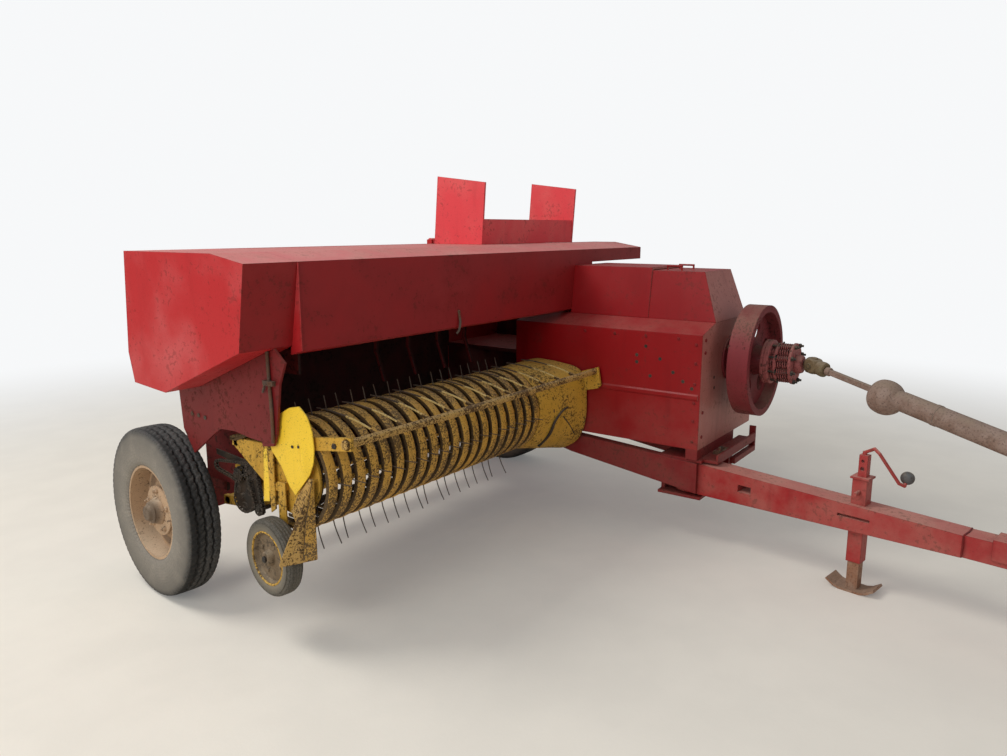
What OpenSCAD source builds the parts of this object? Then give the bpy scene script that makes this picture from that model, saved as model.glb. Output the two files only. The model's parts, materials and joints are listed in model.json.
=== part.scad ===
// Small square baler, trailed, standing on its wheels and its tongue jack.
// X runs across the machine towards the bale case side, Y runs back from the hitch, Z is up.
// The origin is the middle of the footprint, on the ground.

/* [Road wheels] */
// Outside diameter of the road tyres
tyre_d = 720; // [700:5:750]
// Width of the right tyre, under the feeder end
tyre_w = 150; // [145:5:175]
// Width of the left tyre, beside the bale case
tyre_left_w = 220; // [190:5:240]
// Bead diameter of the rims
rim_d = 405; // [380:5:420]
// Middle of the right wheel, across
wheel_right_x = -1300; // [-1310:5:-1290]
// Middle of the left wheel, across
wheel_left_x = 1180; // [1170:5:1220]
// Axle line, along
axle_y = 868; // [860:2:880]
// Toe of the bent right spindle, degrees
wheel_toe = 6; // [0:0.5:7]
// Spindle radius
spindle_r = 25; // [20:1:30]
// Side of the square axle beam
axle_beam = 90; // [70:5:95]

/* [Bale case] */
// Inside width of the bale chamber
chamber_w = 457; // [440:1:465]
// Inside height of the bale chamber
chamber_h = 356; // [340:1:370]
// Height of the chamber floor above the ground
chamber_z = 500; // [495:1:510]
// Middle of the bale chamber, across
case_x = 710; // [705:1:715]
// Wall of the bale case with its pressed ribs
case_wall = 20; // [16:1:24]
// Rear end of the bale case, along
case_rear_y = 2250; // [2200:10:2300]
// Front end of the feed opening, along
feed_front_y = 280; // [260:5:300]

/* [Front housing] */
// Front plate of the crank housing, along
front_y = -780; // [-790:1:-775]
// Left side of the crank housing, across
housing_left_x = 1200; // [1190:5:1220]
// Rear end of the wide part of the crank housing, along
housing_rear_y = -60; // [-100:5:-20]
// Top edge of the right panel
panel_z = 1036; // [1030:1:1045]
// Height of the upper panel crease
crease_z = 752; // [730:1:780]
// Top of the crank cover
cover_z = 1320; // [1300:5:1340]
// Half width of the crank cover at its foot
cover_half = 210; // [200:5:220]
// Rise of the ledge beside the crank cover
ledge_rise = 45; // [35:1:50]
// Sheet thickness of covers and guards
sheet = 10; // [8:1:12]

/* [Feeder] */
// Outer face of the feeder end cap, across
feeder_end_x = -1440; // [-1450:5:-1430]
// Length of the feeder end cap
cap_len = 223; // [215:1:230]
// Front face of the feeder housing, along
feeder_y = 30; // [25:1:40]
// Depth of the feeder housing, front to back
feeder_depth = 750; // [740:5:760]
// Top of the feeder housing
feeder_z = 1445; // [1435:1:1450]
// Lower edge of the front face
feeder_low_z = 1083; // [1078:1:1095]
// End of the closed front face, across
feeder_face_x = 840; // [820:5:860]
// End of the top lip, across
lip_end_x = 1440; // [1400:5:1450]
// Height of the top lip
lip_h = 70; // [60:1:80]
// Front edge of the feeder floor, along
floor_front_y = 440; // [430:5:450]
// Right side sheet of the feeder, across
floor_right_x = -1140; // [-1150:5:-1130]

/* [Pickup] */
// Axis of the pickup reel, along
reel_y = 80; // [70:5:85]
// Axis of the pickup reel, height
reel_z = 645; // [640:1:655]
// Radius of the tine tips
tine_tip_r = 325; // [305:5:325]
// Radius of the tine bars' circle
bar_circle_r = 128; // [115:1:135]
// Outer radius of the stripper bands
band_r = 208; // [200:1:215]
// Number of stripper bands
bands = 20; // [17:1:20]
// Right end of the row of bands, across
band_right_x = -1225; // [-1230:1:-1215]
// Spacing of the bands
band_pitch = 66; // [64:1:66]
// Gap between two bands for the tines
band_gap = 18; // [18:1:22]
// Length of the closed drum cover beside the bands
drum_len = 333; // [320:1:335]
// Pivot of the pickup, along
pickup_pivot_y = 600; // [590:1:610]
// Pivot of the pickup, height
pickup_pivot_z = 420; // [415:1:425]
// Diameter of the gauge wheel
gauge_d = 292; // [280:2:310]
// Middle of the gauge wheel, across
gauge_x = -1316; // [-1320:1:-1314]
// Wind guard pipe, along
guard_y = -225; // [-235:1:-220]
// Wind guard pipe, height
guard_z = 812; // [810:1:820]

/* [Flywheel and driveline] */
// Middle of the flywheel and the driveline joint, across
drive_x = 830; // [825:1:840]
// Height of the flywheel axis
drive_z = 885; // [875:1:895]
// Flywheel diameter
flywheel_d = 548; // [520:2:560]
// Width of the flywheel rim
flywheel_w = 100; // [90:5:110]
// Radius of the driveline joint
joint_r = 46; // [42:1:50]
// Length of the driveline from its joint
driveline_len = 1640; // [1560:10:1660]
// Swing of the driveline from straight ahead, degrees
driveline_yaw = -26; // [-26.5:0.1:-25.5]
// Fall of the driveline, degrees
driveline_fall = 10; // [9.7:0.1:10.3]
// Radius of the driveline guard tube
guard_tube_r = 43; // [40:1:46]

/* [Tongue and jack] */
// Tongue pivot, across
tongue_x = 560; // [555:1:565]
// Tongue pivot, along
tongue_y = -700; // [-705:1:-695]
// Height of the middle of the tongue beam
tongue_z = 331; // [328:1:334]
// Width of the tongue sleeve
tongue_side = 116; // [110:1:118]
// Height of the tongue sleeve at its pivot
tongue_h = 159; // [154:1:162]
// Height of the thinner front part of the tongue
front_h = 90; // [84:1:96]
// Swing of the tongue from straight ahead in transport, degrees
tongue_yaw = -9.5; // [-10:0.1:-9]
// Distance from the tongue pivot to the hitch pin
tongue_len = 1990; // [1960:5:2010]
// Radius of the hitch pin hole
hitch_r = 14.5; // [13:0.5:16]
// Distance from the tongue pivot to the jack
jack_at = 835; // [820:5:850]
// Side of the jack's outer tube
jack_side = 60; // [56:1:64]
// Length of the jack foot
foot_len = 206; // [190:2:220]

/* [Knotters and twine] */
// Width of the knotter cover
cover_w = 910; // [890:5:930]
// Depth and height of the knotter cover
hood = 330; // [320:5:340]
// Radius of the needle arc
needle_r = 500; // [490:1:505]
// Spacing of the two needles
needle_gap = 228; // [220:2:240]
// Length of the twine box
twine_len = 560; // [520:5:580]
// Width of the twine box
twine_w = 330; // [300:5:340]
// Height of the twine box
twine_h = 420; // [400:5:440]

/* [Rear] */
// Length of the bale chute
chute_len = 430; // [400:10:450]

/* [Clearances] */
// Radial clearance of shafts in their bores
fit = 0.1; // [0.05:0.01:0.1]
// Gap between faces that rest on each other and move apart
seat = 0.3; // [0.2:0.05:0.4]

/* [Hidden] */
$fn = 48;

red = "#a81830";
dark_red = "#6e2530";
maroon = "#6e3c38";
yellow = "#c49a2c";
bright_yellow = "#dcc038";
tan_rim = "#b98258";
rubber = "#3a3c3f";
steel = "#6b625c";

axle_z = tyre_d / 2;
case_in_right = case_x - chamber_w / 2;
case_in_left = case_x + chamber_w / 2;
case_right = case_in_right - case_wall;
case_left = case_in_left + case_wall;
case_low = chamber_z - case_wall;
case_top = chamber_z + chamber_h;
case_roof = case_top + case_wall;
feeder_rear_y = feeder_y + feeder_depth;
cap_x = feeder_end_x + cap_len;
floor_low = case_low;
knot_y = feeder_rear_y + 205;
knot_z = 1150;
needle_y = feeder_rear_y + 620;
needle_z = chamber_z + 200;
needle_t = 40;
hinge_y = feeder_rear_y - 14;
hinge_z = feeder_z + 16;
tongue_top = tongue_z + tongue_h / 2;
tongue_low = tongue_z - tongue_h / 2;
front_top = tongue_z + front_h / 2;
sleeve_end = tongue_len - 750;
stand_at = tongue_len - 590;
plate_t = 14;
rail_w = 50;
gauge_y = 122;
gauge_z = 345;
pickup_right = band_right_x - 24;
band_left_x = band_right_x + bands * band_pitch;
pickup_left = band_left_x + 5 + drum_len;
rail_y = floor_front_y - 40;
twine_y = 1500;
twine_z = 600;
chute_y = case_rear_y + 22;
chute_pin_z = chamber_z - 16;

function unit(v) = v / norm(v);
function perp(v) = [-v[1], v[0]];
// Point i of a path moved sideways by t, mitred at its corners
function mitre(p, i, t) =
    let (
        n = len(p),
        a = i > 0 ? unit(p[i] - p[i - 1]) : unit(p[1] - p[0]),
        b = i < n - 1 ? unit(p[i + 1] - p[i]) : a,
        m = unit(perp(a) + perp(b)))
    p[i] + m * t / (m * perp(a));
// Closed outline of a bent sheet: the path and the same path moved sideways by t
function bent(p, t) = concat(p, [for (i = [len(p) - 1 : -1 : 0]) mitre(p, i, t)]);
// Points on an arc in degrees
function arc_points(c, r, a0, a1, n) =
    [for (i = [0 : n]) let (a = a0 + (a1 - a0) * i / n) c + r * [cos(a), sin(a)]];

// A side view in Y and Z carried from x0 to x1
module across(x0, x1) {
    translate([x0, 0, 0])
        rotate([90, 0, 90])
            linear_extrude(x1 - x0)
                children();
}

// A front view in X and Z carried from y0 to y1
module along(y0, y1) {
    translate([0, y1, 0])
        rotate([90, 0, 0])
            linear_extrude(y1 - y0)
                children();
}

// A block between two corners
module block(a, b) {
    translate(a)
        cube(b - a);
}

// Round bar across the machine
module bar_x(x0, x1, y, z, r) {
    translate([x0, y, z])
        rotate([0, 90, 0])
            cylinder(h = x1 - x0, r = r);
}

// Round bar along the machine
module bar_y(x, y0, y1, z, r) {
    translate([x, y1, z])
        rotate([90, 0, 0])
            cylinder(h = y1 - y0, r = r);
}

// Round rod between two points
module rod(a, b, r) {
    d = b - a;
    translate(a)
        rotate([0, acos(d[2] / norm(d)), atan2(d[1], d[0])])
            cylinder(h = norm(d), r = r);
}

// Ring segment about an axis across the machine
module arc_x(y, z, r0, r1, a0, a1, x0, x1) {
    translate([x0, y, z])
        rotate([90, 0, 90])
            rotate([0, 0, a0])
                rotate_extrude(angle = a1 - a0)
                    translate([r0, 0])
                        square([r1 - r0, x1 - x0]);
}

// Things drawn straight ahead of the tongue pivot, turned to the tongue's line
module on_tongue() {
    translate([tongue_x, tongue_y, 0])
        rotate([0, 0, tongue_yaw])
            children();
}

// Bale chamber: floor, roof and sides with feed opening, needle slots and wheel slot
module bale_case() {
    slot_w = needle_t + 14;
    needle_front = needle_y - needle_r - needle_t;
    color(red)
    difference() {
        union() {
            block([case_in_right, front_y + sheet, case_low], [case_left, case_rear_y, chamber_z]);
            block([case_right, feed_front_y, case_low], [case_left, case_rear_y, chamber_z]);
            block([case_right, feed_front_y, case_top], [case_left, case_rear_y, case_roof]);
            block([case_right, feeder_rear_y, case_low], [case_in_right, case_rear_y, case_roof]);
            block([case_in_left, housing_rear_y, case_low], [case_left, case_rear_y, case_roof]);
            // walls that carry the feeder housing
            block([case_in_left, feed_front_y, case_top],
                [case_left, feeder_rear_y, feeder_low_z]);
            block([case_right, feeder_rear_y - case_wall, case_top],
                [case_left, feeder_rear_y, feeder_low_z]);
            // pins for the needle yoke
            bar_x(case_right - 40, case_right + 5, needle_y, needle_z, 18);
            bar_x(case_left - 5, case_left + 40, needle_y, needle_z, 18);
            // pins of the chute's hinges
            for (x = [case_right + 80, case_left - 140]) {
                bar_x(x - 16, x + 76, chute_y, chute_pin_z, 8);
                for (lug = [x - 16, x + 66])
                    block([lug, case_rear_y - 1, chute_pin_z - 4],
                        [lug + 10, chute_y + 8, chute_pin_z + 10]);
            }
            // ribs on both sides
            for (y = [feeder_rear_y + 220, needle_y + 330]) {
                block([case_right - 8, y, case_low], [case_right + 1, y + 50, case_roof]);
                block([case_left - 1, y, case_low], [case_left + 8, y + 50, case_roof]);
            }
        }
        for (side = [-1, 1]) {
            block([case_x + side * needle_gap / 2 - slot_w / 2, needle_front, case_low - 1],
                [case_x + side * needle_gap / 2 + slot_w / 2, needle_front + 230, chamber_z + 1]);
            block([case_x + side * needle_gap / 2 - slot_w / 2, needle_front, case_top - 1],
                [case_x + side * needle_gap / 2 + slot_w / 2, needle_front + 230, case_roof + 1]);
        }
        // slot for the metering wheel
        block([case_x - 30, needle_y - 150, case_top - 1],
            [case_x + 30, needle_y + 150, case_roof + 1]);
        // the rear third of the roof is two rails
        block([case_in_right + 60, needle_y + 240, case_top - 1],
            [case_in_left - 60, case_rear_y + 1, case_roof + 1]);
    }
}

// Crank housing: right panel with its crease, front plate, left panel and sloping ledges
module front_housing() {
    inner_right = case_in_right;
    crease = [
        [case_right, case_low],
        [case_right, crease_z - 32],
        [case_right - 5, crease_z - 24],
        [case_right - 5, crease_z - 8],
        [case_right, crease_z],
        [case_right, panel_z],
        [drive_x - cover_half, panel_z + ledge_rise],
        [drive_x - cover_half + 2 * sheet, panel_z + ledge_rise],
        [drive_x - cover_half + 2 * sheet, panel_z + ledge_rise - sheet],
        [drive_x - cover_half, panel_z + ledge_rise - sheet],
        [inner_right, panel_z - 16],
        [inner_right, case_low]];
    color(red) {
        along(front_y + sheet, feed_front_y)
            polygon(crease);
        difference() {
            along(front_y, front_y + sheet)
                polygon([
                    [case_right, case_low],
                    [case_right, panel_z],
                    [drive_x - cover_half, panel_z + ledge_rise],
                    [drive_x + cover_half, panel_z + ledge_rise],
                    [housing_left_x, panel_z],
                    [housing_left_x, case_low]]);
            bar_y(drive_x, front_y - 1, front_y + sheet + 1, drive_z, 60);
        }
        // left panel, its ledge, floor and rear closing sheet
        along(front_y + sheet, housing_rear_y)
            polygon([
                [case_left, case_low],
                [housing_left_x, case_low],
                [housing_left_x, panel_z],
                [drive_x + cover_half, panel_z + ledge_rise],
                [drive_x + cover_half - 2 * sheet, panel_z + ledge_rise],
                [drive_x + cover_half - 2 * sheet, panel_z + ledge_rise - sheet],
                [drive_x + cover_half, panel_z + ledge_rise - sheet],
                [housing_left_x - sheet, panel_z - 14],
                [housing_left_x - sheet, case_low + sheet],
                [case_left, case_low + sheet]]);
        along(housing_rear_y - sheet, housing_rear_y)
            polygon([
                [case_left, case_low],
                [housing_left_x, case_low],
                [housing_left_x, panel_z],
                [case_left, panel_z + 20]]);
    }
}

// Outline of the crank cover's shell, seen from the front, at a given top height
function cover_outline(top, half_top, wall) = [
    [drive_x - cover_half + wall, panel_z + ledge_rise],
    [drive_x - half_top + wall, top - wall],
    [drive_x + half_top - wall, top - wall],
    [drive_x + cover_half - wall, panel_z + ledge_rise]];

// Front part of the crank cover with its slanted nose
module crank_cover() {
    seam_y = front_y + 356;
    foot_z = panel_z + ledge_rise;
    nose = 80;
    color(red)
    difference() {
        along(front_y, seam_y)
            polygon(cover_outline(cover_z, cover_half - 35, 0));
        along(front_y + 2 * sheet, seam_y + 1)
            polygon(cover_outline(cover_z, cover_half - 35, sheet));
        // everything ahead of the slanted nose
        across(drive_x - cover_half - 1, drive_x + cover_half + 1)
            polygon([
                [front_y - 1, foot_z - 1],
                [front_y, foot_z],
                [front_y + nose, cover_z],
                [front_y + nose, cover_z + 1],
                [front_y - 1, cover_z + 1]]);
    }
    // slanted nose sheet
    color(red)
    intersection() {
        along(front_y, front_y + nose + 2 * sheet)
            polygon(cover_outline(cover_z, cover_half - 35, 0));
        across(drive_x - cover_half, drive_x + cover_half)
            polygon([
                [front_y, foot_z],
                [front_y + nose, cover_z],
                [front_y + nose + sheet, cover_z],
                [front_y + sheet, foot_z]]);
    }
    // bent rod handles on the top
    color(steel)
    for (x = [drive_x - 90, drive_x + 60]) {
        rod([x, seam_y - 120, cover_z - 2], [x, seam_y - 120, cover_z + 22], 5);
        rod([x, seam_y - 124, cover_z + 20], [x, seam_y - 40, cover_z + 20], 5);
        rod([x, seam_y - 44, cover_z - 2], [x, seam_y - 44, cover_z + 22], 5);
    }
}

// Rear part of the crank cover, its top a little proud, back to the feeder
module crank_lid() {
    seam_y = front_y + 356;
    color(red)
    difference() {
        along(seam_y, feeder_y)
            polygon(cover_outline(cover_z + 12, cover_half - 33, -2));
        along(seam_y - 1, feeder_y - sheet)
            polygon(cover_outline(cover_z + 12, cover_half - 33, sheet));
        block([0, seam_y - 10, panel_z], [1300, feeder_y + 10, panel_z + ledge_rise]);
    }
}

// Gearbox in the crank housing, as one plain heavy block with its input boss
module gearbox() {
    color(steel) {
        block([drive_x - 40, front_y + 60, drive_z - 190],
            [housing_left_x - 2 * sheet, front_y + 480, drive_z + 120]);
        bar_y(drive_x, front_y + sheet, front_y + 70, drive_z, 75);
        // feet down to the housing floor
        block([case_left + 10, front_y + 100, case_low + sheet],
            [housing_left_x - 40, front_y + 420, drive_z - 180]);
    }
}

// Feeder housing: front face with bent foot, sloped top, rear face, and the long top lip
module feeder_housing() {
    top_front = feeder_z - 30;
    shell = [
        [feeder_y + 60, feeder_low_z],
        [feeder_y, feeder_low_z + 17],
        [feeder_y, top_front],
        [feeder_y + 176, feeder_z],
        [feeder_rear_y - 30, feeder_z],
        [feeder_rear_y, feeder_low_z]];
    color(red) {
        difference() {
            across(cap_x, feeder_face_x)
                polygon(bent(shell, -12));
            block([cap_x - 1, feeder_y - 1, feeder_low_z - 50],
                [feeder_face_x + 1, feeder_rear_y + 20, feeder_low_z]);
            // slot along the rear of the top
            block([cap_x + 150, feeder_rear_y - 110, feeder_z - 40],
                [feeder_face_x - 60, feeder_rear_y - 85, feeder_z + 5]);
        }
        across(feeder_face_x, lip_end_x)
            polygon(bent([
                [feeder_y, top_front - lip_h],
                [feeder_y, top_front],
                [feeder_y + 176, feeder_z],
                [feeder_y + 330, feeder_z]], -12));
        // carriage rail inside
        block([cap_x, feeder_y + 380, feeder_low_z + 200],
            [feeder_face_x, feeder_y + 460, feeder_low_z + 240]);
        for (x = [cap_x, feeder_face_x - 20])
            block([x, feeder_y + 400, feeder_low_z + 230],
                [x + 20, feeder_y + 440, feeder_z - 6]);
        // lugs and pins of the knotter cover's hinges
        for (x = [case_x - cover_w / 2 + 60, case_x + cover_w / 2 - 140]) {
            bar_x(x - 16, x + 96, hinge_y, hinge_z, 7);
            for (lug = [x - 16, x + 86])
                block([lug, hinge_y - 28, feeder_z - 6], [lug + 10, hinge_y + 7, hinge_z + 6]);
        }
    }
}

// Height of the end cap's slanted lower edge at a place along
function cap_edge_z(y) = feeder_low_z + 35 - (y - feeder_y - 50) * (feeder_low_z + 553 - feeder_z) / 464;

// Closed end cap of the feeder, deeper than the housing
module feeder_end_cap() {
    low = feeder_z - 518;
    side = [
        [feeder_y + 50, feeder_low_z + 35],
        [feeder_y, feeder_z - 30],
        [feeder_y + 176, feeder_z],
        [feeder_rear_y - 30, feeder_z],
        [feeder_rear_y, low + 133],
        [feeder_rear_y - 28, low + 16],
        [feeder_y + 514, low]];
    inner = [
        [feeder_y + 64, feeder_low_z + 50],
        [feeder_y + 14, feeder_z - 40],
        [feeder_y + 178, feeder_z - 12],
        [feeder_rear_y - 41, feeder_z - 12],
        [feeder_rear_y - 13, low + 133],
        [feeder_rear_y - 38, low + 28],
        [feeder_y + 515, low + 13]];
    color(red)
    difference() {
        across(feeder_end_x, cap_x)
            polygon(side);
        across(feeder_end_x + 12, cap_x + 1)
            polygon(inner);
    }
}

// Feeder floor and back wall, with lugs for the pickup pivot
module feeder_floor() {
    lug = 34;
    x0 = floor_right_x + 12;
    color(red) {
        block([x0, floor_front_y, floor_low], [case_right, feeder_rear_y, chamber_z]);
        block([x0, feeder_rear_y - 12, floor_low],
            [case_right, feeder_rear_y, feeder_low_z]);
        for (x = [floor_right_x + 120, case_right - 260])
            difference() {
                union() {
                    block([x, pickup_pivot_y - lug, pickup_pivot_z],
                        [x + 30, pickup_pivot_y + lug, floor_low + 1]);
                    bar_x(x, x + 30, pickup_pivot_y, pickup_pivot_z, lug);
                }
                bar_x(x - 1, x + 31, pickup_pivot_y, pickup_pivot_z, 20 + fit);
            }
        // stands on the axle beam
        for (x = [floor_right_x + 60, case_right - 460])
            block([x, axle_y - 128, axle_z + axle_beam / 2], [x + 16, axle_y + 20, floor_low]);
    }
}

// Right side sheet of the feeder and the outrigger that carries the end cap
module feeder_side() {
    side = [
        [floor_front_y, floor_low],
        [floor_front_y, chamber_z + 300],
        [floor_front_y - 140, feeder_low_z - 98],
        [feeder_y + 120, feeder_low_z - 90],
        [feeder_y + 120, feeder_low_z],
        [feeder_rear_y, feeder_low_z],
        [feeder_rear_y, floor_low]];
    color(red) {
        across(floor_right_x, floor_right_x + 12)
            polygon(side);
        block([cap_x, feeder_rear_y - 60, feeder_low_z - 40],
            [floor_right_x + 1, feeder_rear_y - 4, feeder_low_z]);
    }
}

// Red side sheet that hangs under the end cap, with its folded front part and rear corner
module feed_shield() {
    x0 = cap_x - 82;
    low = feeder_z - 518;
    // height of the rear corner's tip, over the tyre
    tip_z = axle_z + sqrt(pow(tyre_d / 2 + 27, 2) - pow(axle_y - feeder_y - 582, 2));
    color(red)
    across(x0, x0 + sheet)
        polygon([
            [feeder_y + 52, cap_edge_z(feeder_y + 52)],
            [feeder_y - 4, feeder_low_z - 14],
            [feeder_y + 31, low + 63],
            [feeder_y + 61, low - 124],
            [feeder_y + 81, low - 167],
            [feeder_y + 142, low - 177],
            [feeder_y + 149, low - 161],
            [feeder_y + 215, low - 158],
            [feeder_y + 307, low - 146],
            [feeder_y + 396, low - 150],
            [feeder_y + 439, low - 176],
            [feeder_y + 582, tip_z],
            [feeder_y + 644, tip_z + 93],
            [feeder_y + 660, low + 11],
            [feeder_y + 514, low]]);
}

// Frame under the bale case: two tapered rails, front cross member and tongue plates
module main_frame() {
    rail_end = axle_y + 90;
    side = [
        [front_y, tongue_z - 67],
        [front_y, tongue_z + 82],
        [front_y + 700, case_low - 20],
        [front_y + 900, case_low],
        [rail_end, case_low],
        [rail_end, axle_z + axle_beam / 2],
        [front_y + 900, axle_z + axle_beam / 2],
        [front_y + 700, axle_z]];
    pad = tongue_top + 6;
    rack_x = tongue_x + 490;
    color(dark_red) {
        // the right rail is only a plate beside the tongue's boss
        difference() {
            across(case_right, case_right + rail_w)
                polygon(side);
            block([case_right + 12, front_y - 1, tongue_low - 30],
                [case_right + rail_w + 1, tongue_y + 100, case_low + 1]);
        }
        across(case_left - rail_w, case_left)
            polygon(side);
        // tongue plates above and below the beam, and the pin through them
        block([tongue_x - 90, front_y - 20, pad],
            [case_left - rail_w + 1, tongue_y + 120, pad + plate_t]);
        block([tongue_x - 90, front_y - 20, tongue_low - 6 - plate_t],
            [case_left - rail_w + 1, tongue_y + 120, tongue_low - 6]);
        translate([tongue_x, tongue_y, tongue_low - 6 - plate_t - 20])
            cylinder(h = tongue_h + 2 * (plate_t + 6) + 50, r = 22);
        // posts up to the crank housing
        block([case_right, front_y + 1, pad + plate_t - 1],
            [case_left, front_y + 60, case_low]);
        block([case_right + rail_w - 1, tongue_y + 100, tongue_low - 6 - plate_t],
            [case_left - rail_w + 1, tongue_y + 120, pad + plate_t]);
        // angle for the tongue latch at the foot of the front plate, with its turned up end
        block([tongue_x - 60, front_y - 90, pad],
            [rack_x, front_y + 1, pad + plate_t]);
        block([tongue_x - 60, front_y - 90, pad],
            [rack_x, front_y - 80, pad + 44]);
        block([rack_x - 14, front_y - 90, pad - 55],
            [rack_x, front_y - 58, pad + 78]);
        block([tongue_x + 180, front_y - 90, pad - 55],
            [rack_x, front_y - 62, pad - 27]);
    }
}

// Axle beam with its two spindles, the right one bent out
module axle() {
    inner_r = wheel_right_x + tyre_w / 2 + 22;
    inner_l = wheel_left_x - tyre_left_w / 2 - 14;
    color(dark_red)
    block([inner_r, axle_y - axle_beam / 2, axle_z - axle_beam / 2],
        [inner_l, axle_y + axle_beam / 2, axle_z + axle_beam / 2]);
    color(steel) {
        on_wheel(wheel_right_x, wheel_toe)
            bar_x(-42, inner_r - wheel_right_x + 8, 0, 0, spindle_r);
        bar_x(inner_l - 1, wheel_left_x + 42, axle_y, axle_z, spindle_r);
    }
}

// Flange bearing on the front plate that carries the flywheel shaft
module bearing_housing() {
    color(maroon)
    difference() {
        union() {
            bar_y(drive_x, front_y - 12, front_y, drive_z, 110);
            bar_y(drive_x, front_y - 26, front_y - 10, drive_z, 62);
            bar_y(drive_x, front_y - 1, front_y + sheet, drive_z, 60 - seat);
        }
        bar_y(drive_x, front_y - 30, front_y + sheet + 1, drive_z, 30 + fit);
    }
}

// Frame of the knotter stack on the roof of the case
module knotter_frame() {
    x0 = case_right + 30;
    x1 = case_left - 30;
    color(dark_red) {
        for (x = [x0, x1 - 16])
            difference() {
                across(x, x + 16)
                    polygon([
                        [knot_y - 110, case_roof],
                        [knot_y - 60, knot_z + 60],
                        [knot_y + 60, knot_z + 60],
                        [knot_y + 120, case_roof]]);
                bar_x(x - 1, x + 17, knot_y, knot_z, 18 + fit);
            }
        bar_x(x0, x1, knot_y - 90, case_roof + 46, 14);
        // measuring arm back to the star wheel
        across(case_x - 40, case_x - 28)
            polygon([
                [knot_y + 96, case_roof],
                [knot_y + 96, case_roof + 60],
                [needle_y - 10, case_roof + 116],
                [needle_y + 20, case_roof + 96],
                [needle_y, case_roof + 76],
                [knot_y + 150, case_roof]]);
        bar_x(case_x - 40, case_x + 22, needle_y, case_roof + 96, 10);
        for (side = [-1, 1])
            translate([case_x + side * needle_gap / 2, 0, 0]) {
                // knotter body hung below the shaft, in front of the needle's way
                across(-70, -44)
                    polygon([
                        [knot_y - 105, case_roof + 30],
                        [knot_y - 70, knot_z - 40],
                        [knot_y - 30, knot_z - 40],
                        [knot_y - 60, case_roof + 20]]);
            }
    }
}

// Twine box beside the bale case, open at the top under its lid
module twine_box() {
    wall = 12;
    x0 = case_left + 9;
    color(red) {
        difference() {
            block([x0, twine_y, twine_z], [x0 + twine_w, twine_y + twine_len, twine_z + twine_h]);
            block([x0 + wall, twine_y + wall, twine_z + wall],
                [x0 + twine_w - wall, twine_y + twine_len - wall, twine_z + twine_h + 1]);
        }
        for (y = [twine_y + 60, twine_y + twine_len - 160])
            block([case_left, y, twine_z + 40], [x0 + 1, y + 100, twine_z + 110]);
        // hinge pins
        for (y = [twine_y + 60, twine_y + twine_len - 120]) {
            bar_y(x0 + 14, y, y + 60, twine_z + twine_h + 20, 6);
            block([x0 + 8, y, twine_z + twine_h - 1], [x0 + 20, y + 12, twine_z + twine_h + 20]);
            block([x0 + 8, y + 48, twine_z + twine_h - 1],
                [x0 + 20, y + 60, twine_z + twine_h + 20]);
        }
    }
}

// Bale tension: cross bars over and under the case, side screws with springs and cranks
module tension_bars() {
    y = case_rear_y - 90;
    x0 = case_right - 45;
    x1 = case_left + 45;
    color(dark_red) {
        block([x0 - 20, y - 30, case_roof], [x1 + 20, y + 30, case_roof + 60]);
        block([x0 - 20, y - 30, case_low - 60], [x1 + 20, y + 30, case_low]);
        for (x = [case_in_right, case_in_left - 50])
            block([x, needle_y + 250, case_roof], [x + 50, y - 29, case_roof + 30]);
    }
    color(steel)
    for (x = [x0, x1]) {
        rod([x, y, case_low - 30], [x, y, case_roof + 250], 12);
        rod([x, y, case_roof + 59], [x, y, case_roof + 190], 28);
        rod([x, y + 0.5, case_roof + 240], [x, y + 130, case_roof + 240], 9);
        rod([x, y + 125, case_roof + 232], [x, y + 125, case_roof + 330], 11);
    }
}

// Chain case that drives the feeder, on the left of the case
module feeder_drive() {
    color(red)
    across(case_left, case_left + 70)
        polygon([
            [housing_rear_y, case_top - 60],
            [housing_rear_y, case_top + 90],
            [feed_front_y - 20, feeder_low_z + 150],
            [feed_front_y + 200, feeder_low_z + 150],
            [feed_front_y + 200, case_top + 60],
            [feed_front_y, case_top - 60]]);
}

// Pickup drive at the right end: large sprocket with its idlers on a plate beside the arm
module pickup_drive() {
    x1 = floor_right_x - 34;
    sprockets = [
        // along, height, radius, shaft radius, distance from the plate
        [pickup_pivot_y - 163, pickup_pivot_z + 62, 70, 22, 22],
        [pickup_pivot_y - 248, pickup_pivot_z + 182, 34, 12, 42],
        [pickup_pivot_y - 153, pickup_pivot_z + 152, 30, 12, 42]];
    color(steel)
    for (s = sprockets) {
        bar_x(x1 - s[4] - 18, x1 - 11, s[0], s[1], s[3]);
        bar_x(x1 - s[4] - 12, x1 - s[4], s[0], s[1], s[2]);
    }
    color(yellow)
    across(x1 - 12, x1)
        polygon([
            [pickup_pivot_y - 190, pickup_pivot_z + 44],
            [pickup_pivot_y - 232, pickup_pivot_z + 60],
            [pickup_pivot_y - 286, pickup_pivot_z + 200],
            [pickup_pivot_y - 180, pickup_pivot_z + 226],
            [pickup_pivot_y - 84, pickup_pivot_z + 170],
            [pickup_pivot_y - 84, pickup_pivot_z + 30],
            [pickup_pivot_y - 150, pickup_pivot_z - 6]]);
}

// Outline of half a tyre's section: radius and distance from the middle plane
function tyre_section(w) = [
    [rim_d / 2, -w * 0.40],
    [rim_d / 2 + 14, -w * 0.45],
    [rim_d / 2 + 70, -w / 2],
    [tyre_d / 2 - 45, -w * 0.485],
    [tyre_d / 2 - 8, -w * 0.42],
    [tyre_d / 2, -w * 0.34],
    [tyre_d / 2, w * 0.34],
    [tyre_d / 2 - 8, w * 0.42],
    [tyre_d / 2 - 45, w * 0.485],
    [rim_d / 2 + 70, w / 2],
    [rim_d / 2 + 14, w * 0.45],
    [rim_d / 2, w * 0.40]];

// Things drawn about a road wheel's middle, turned by its toe
module on_wheel(x, toe) {
    translate([x, axle_y, axle_z])
        rotate([0, 0, -toe])
            children();
}

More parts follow.
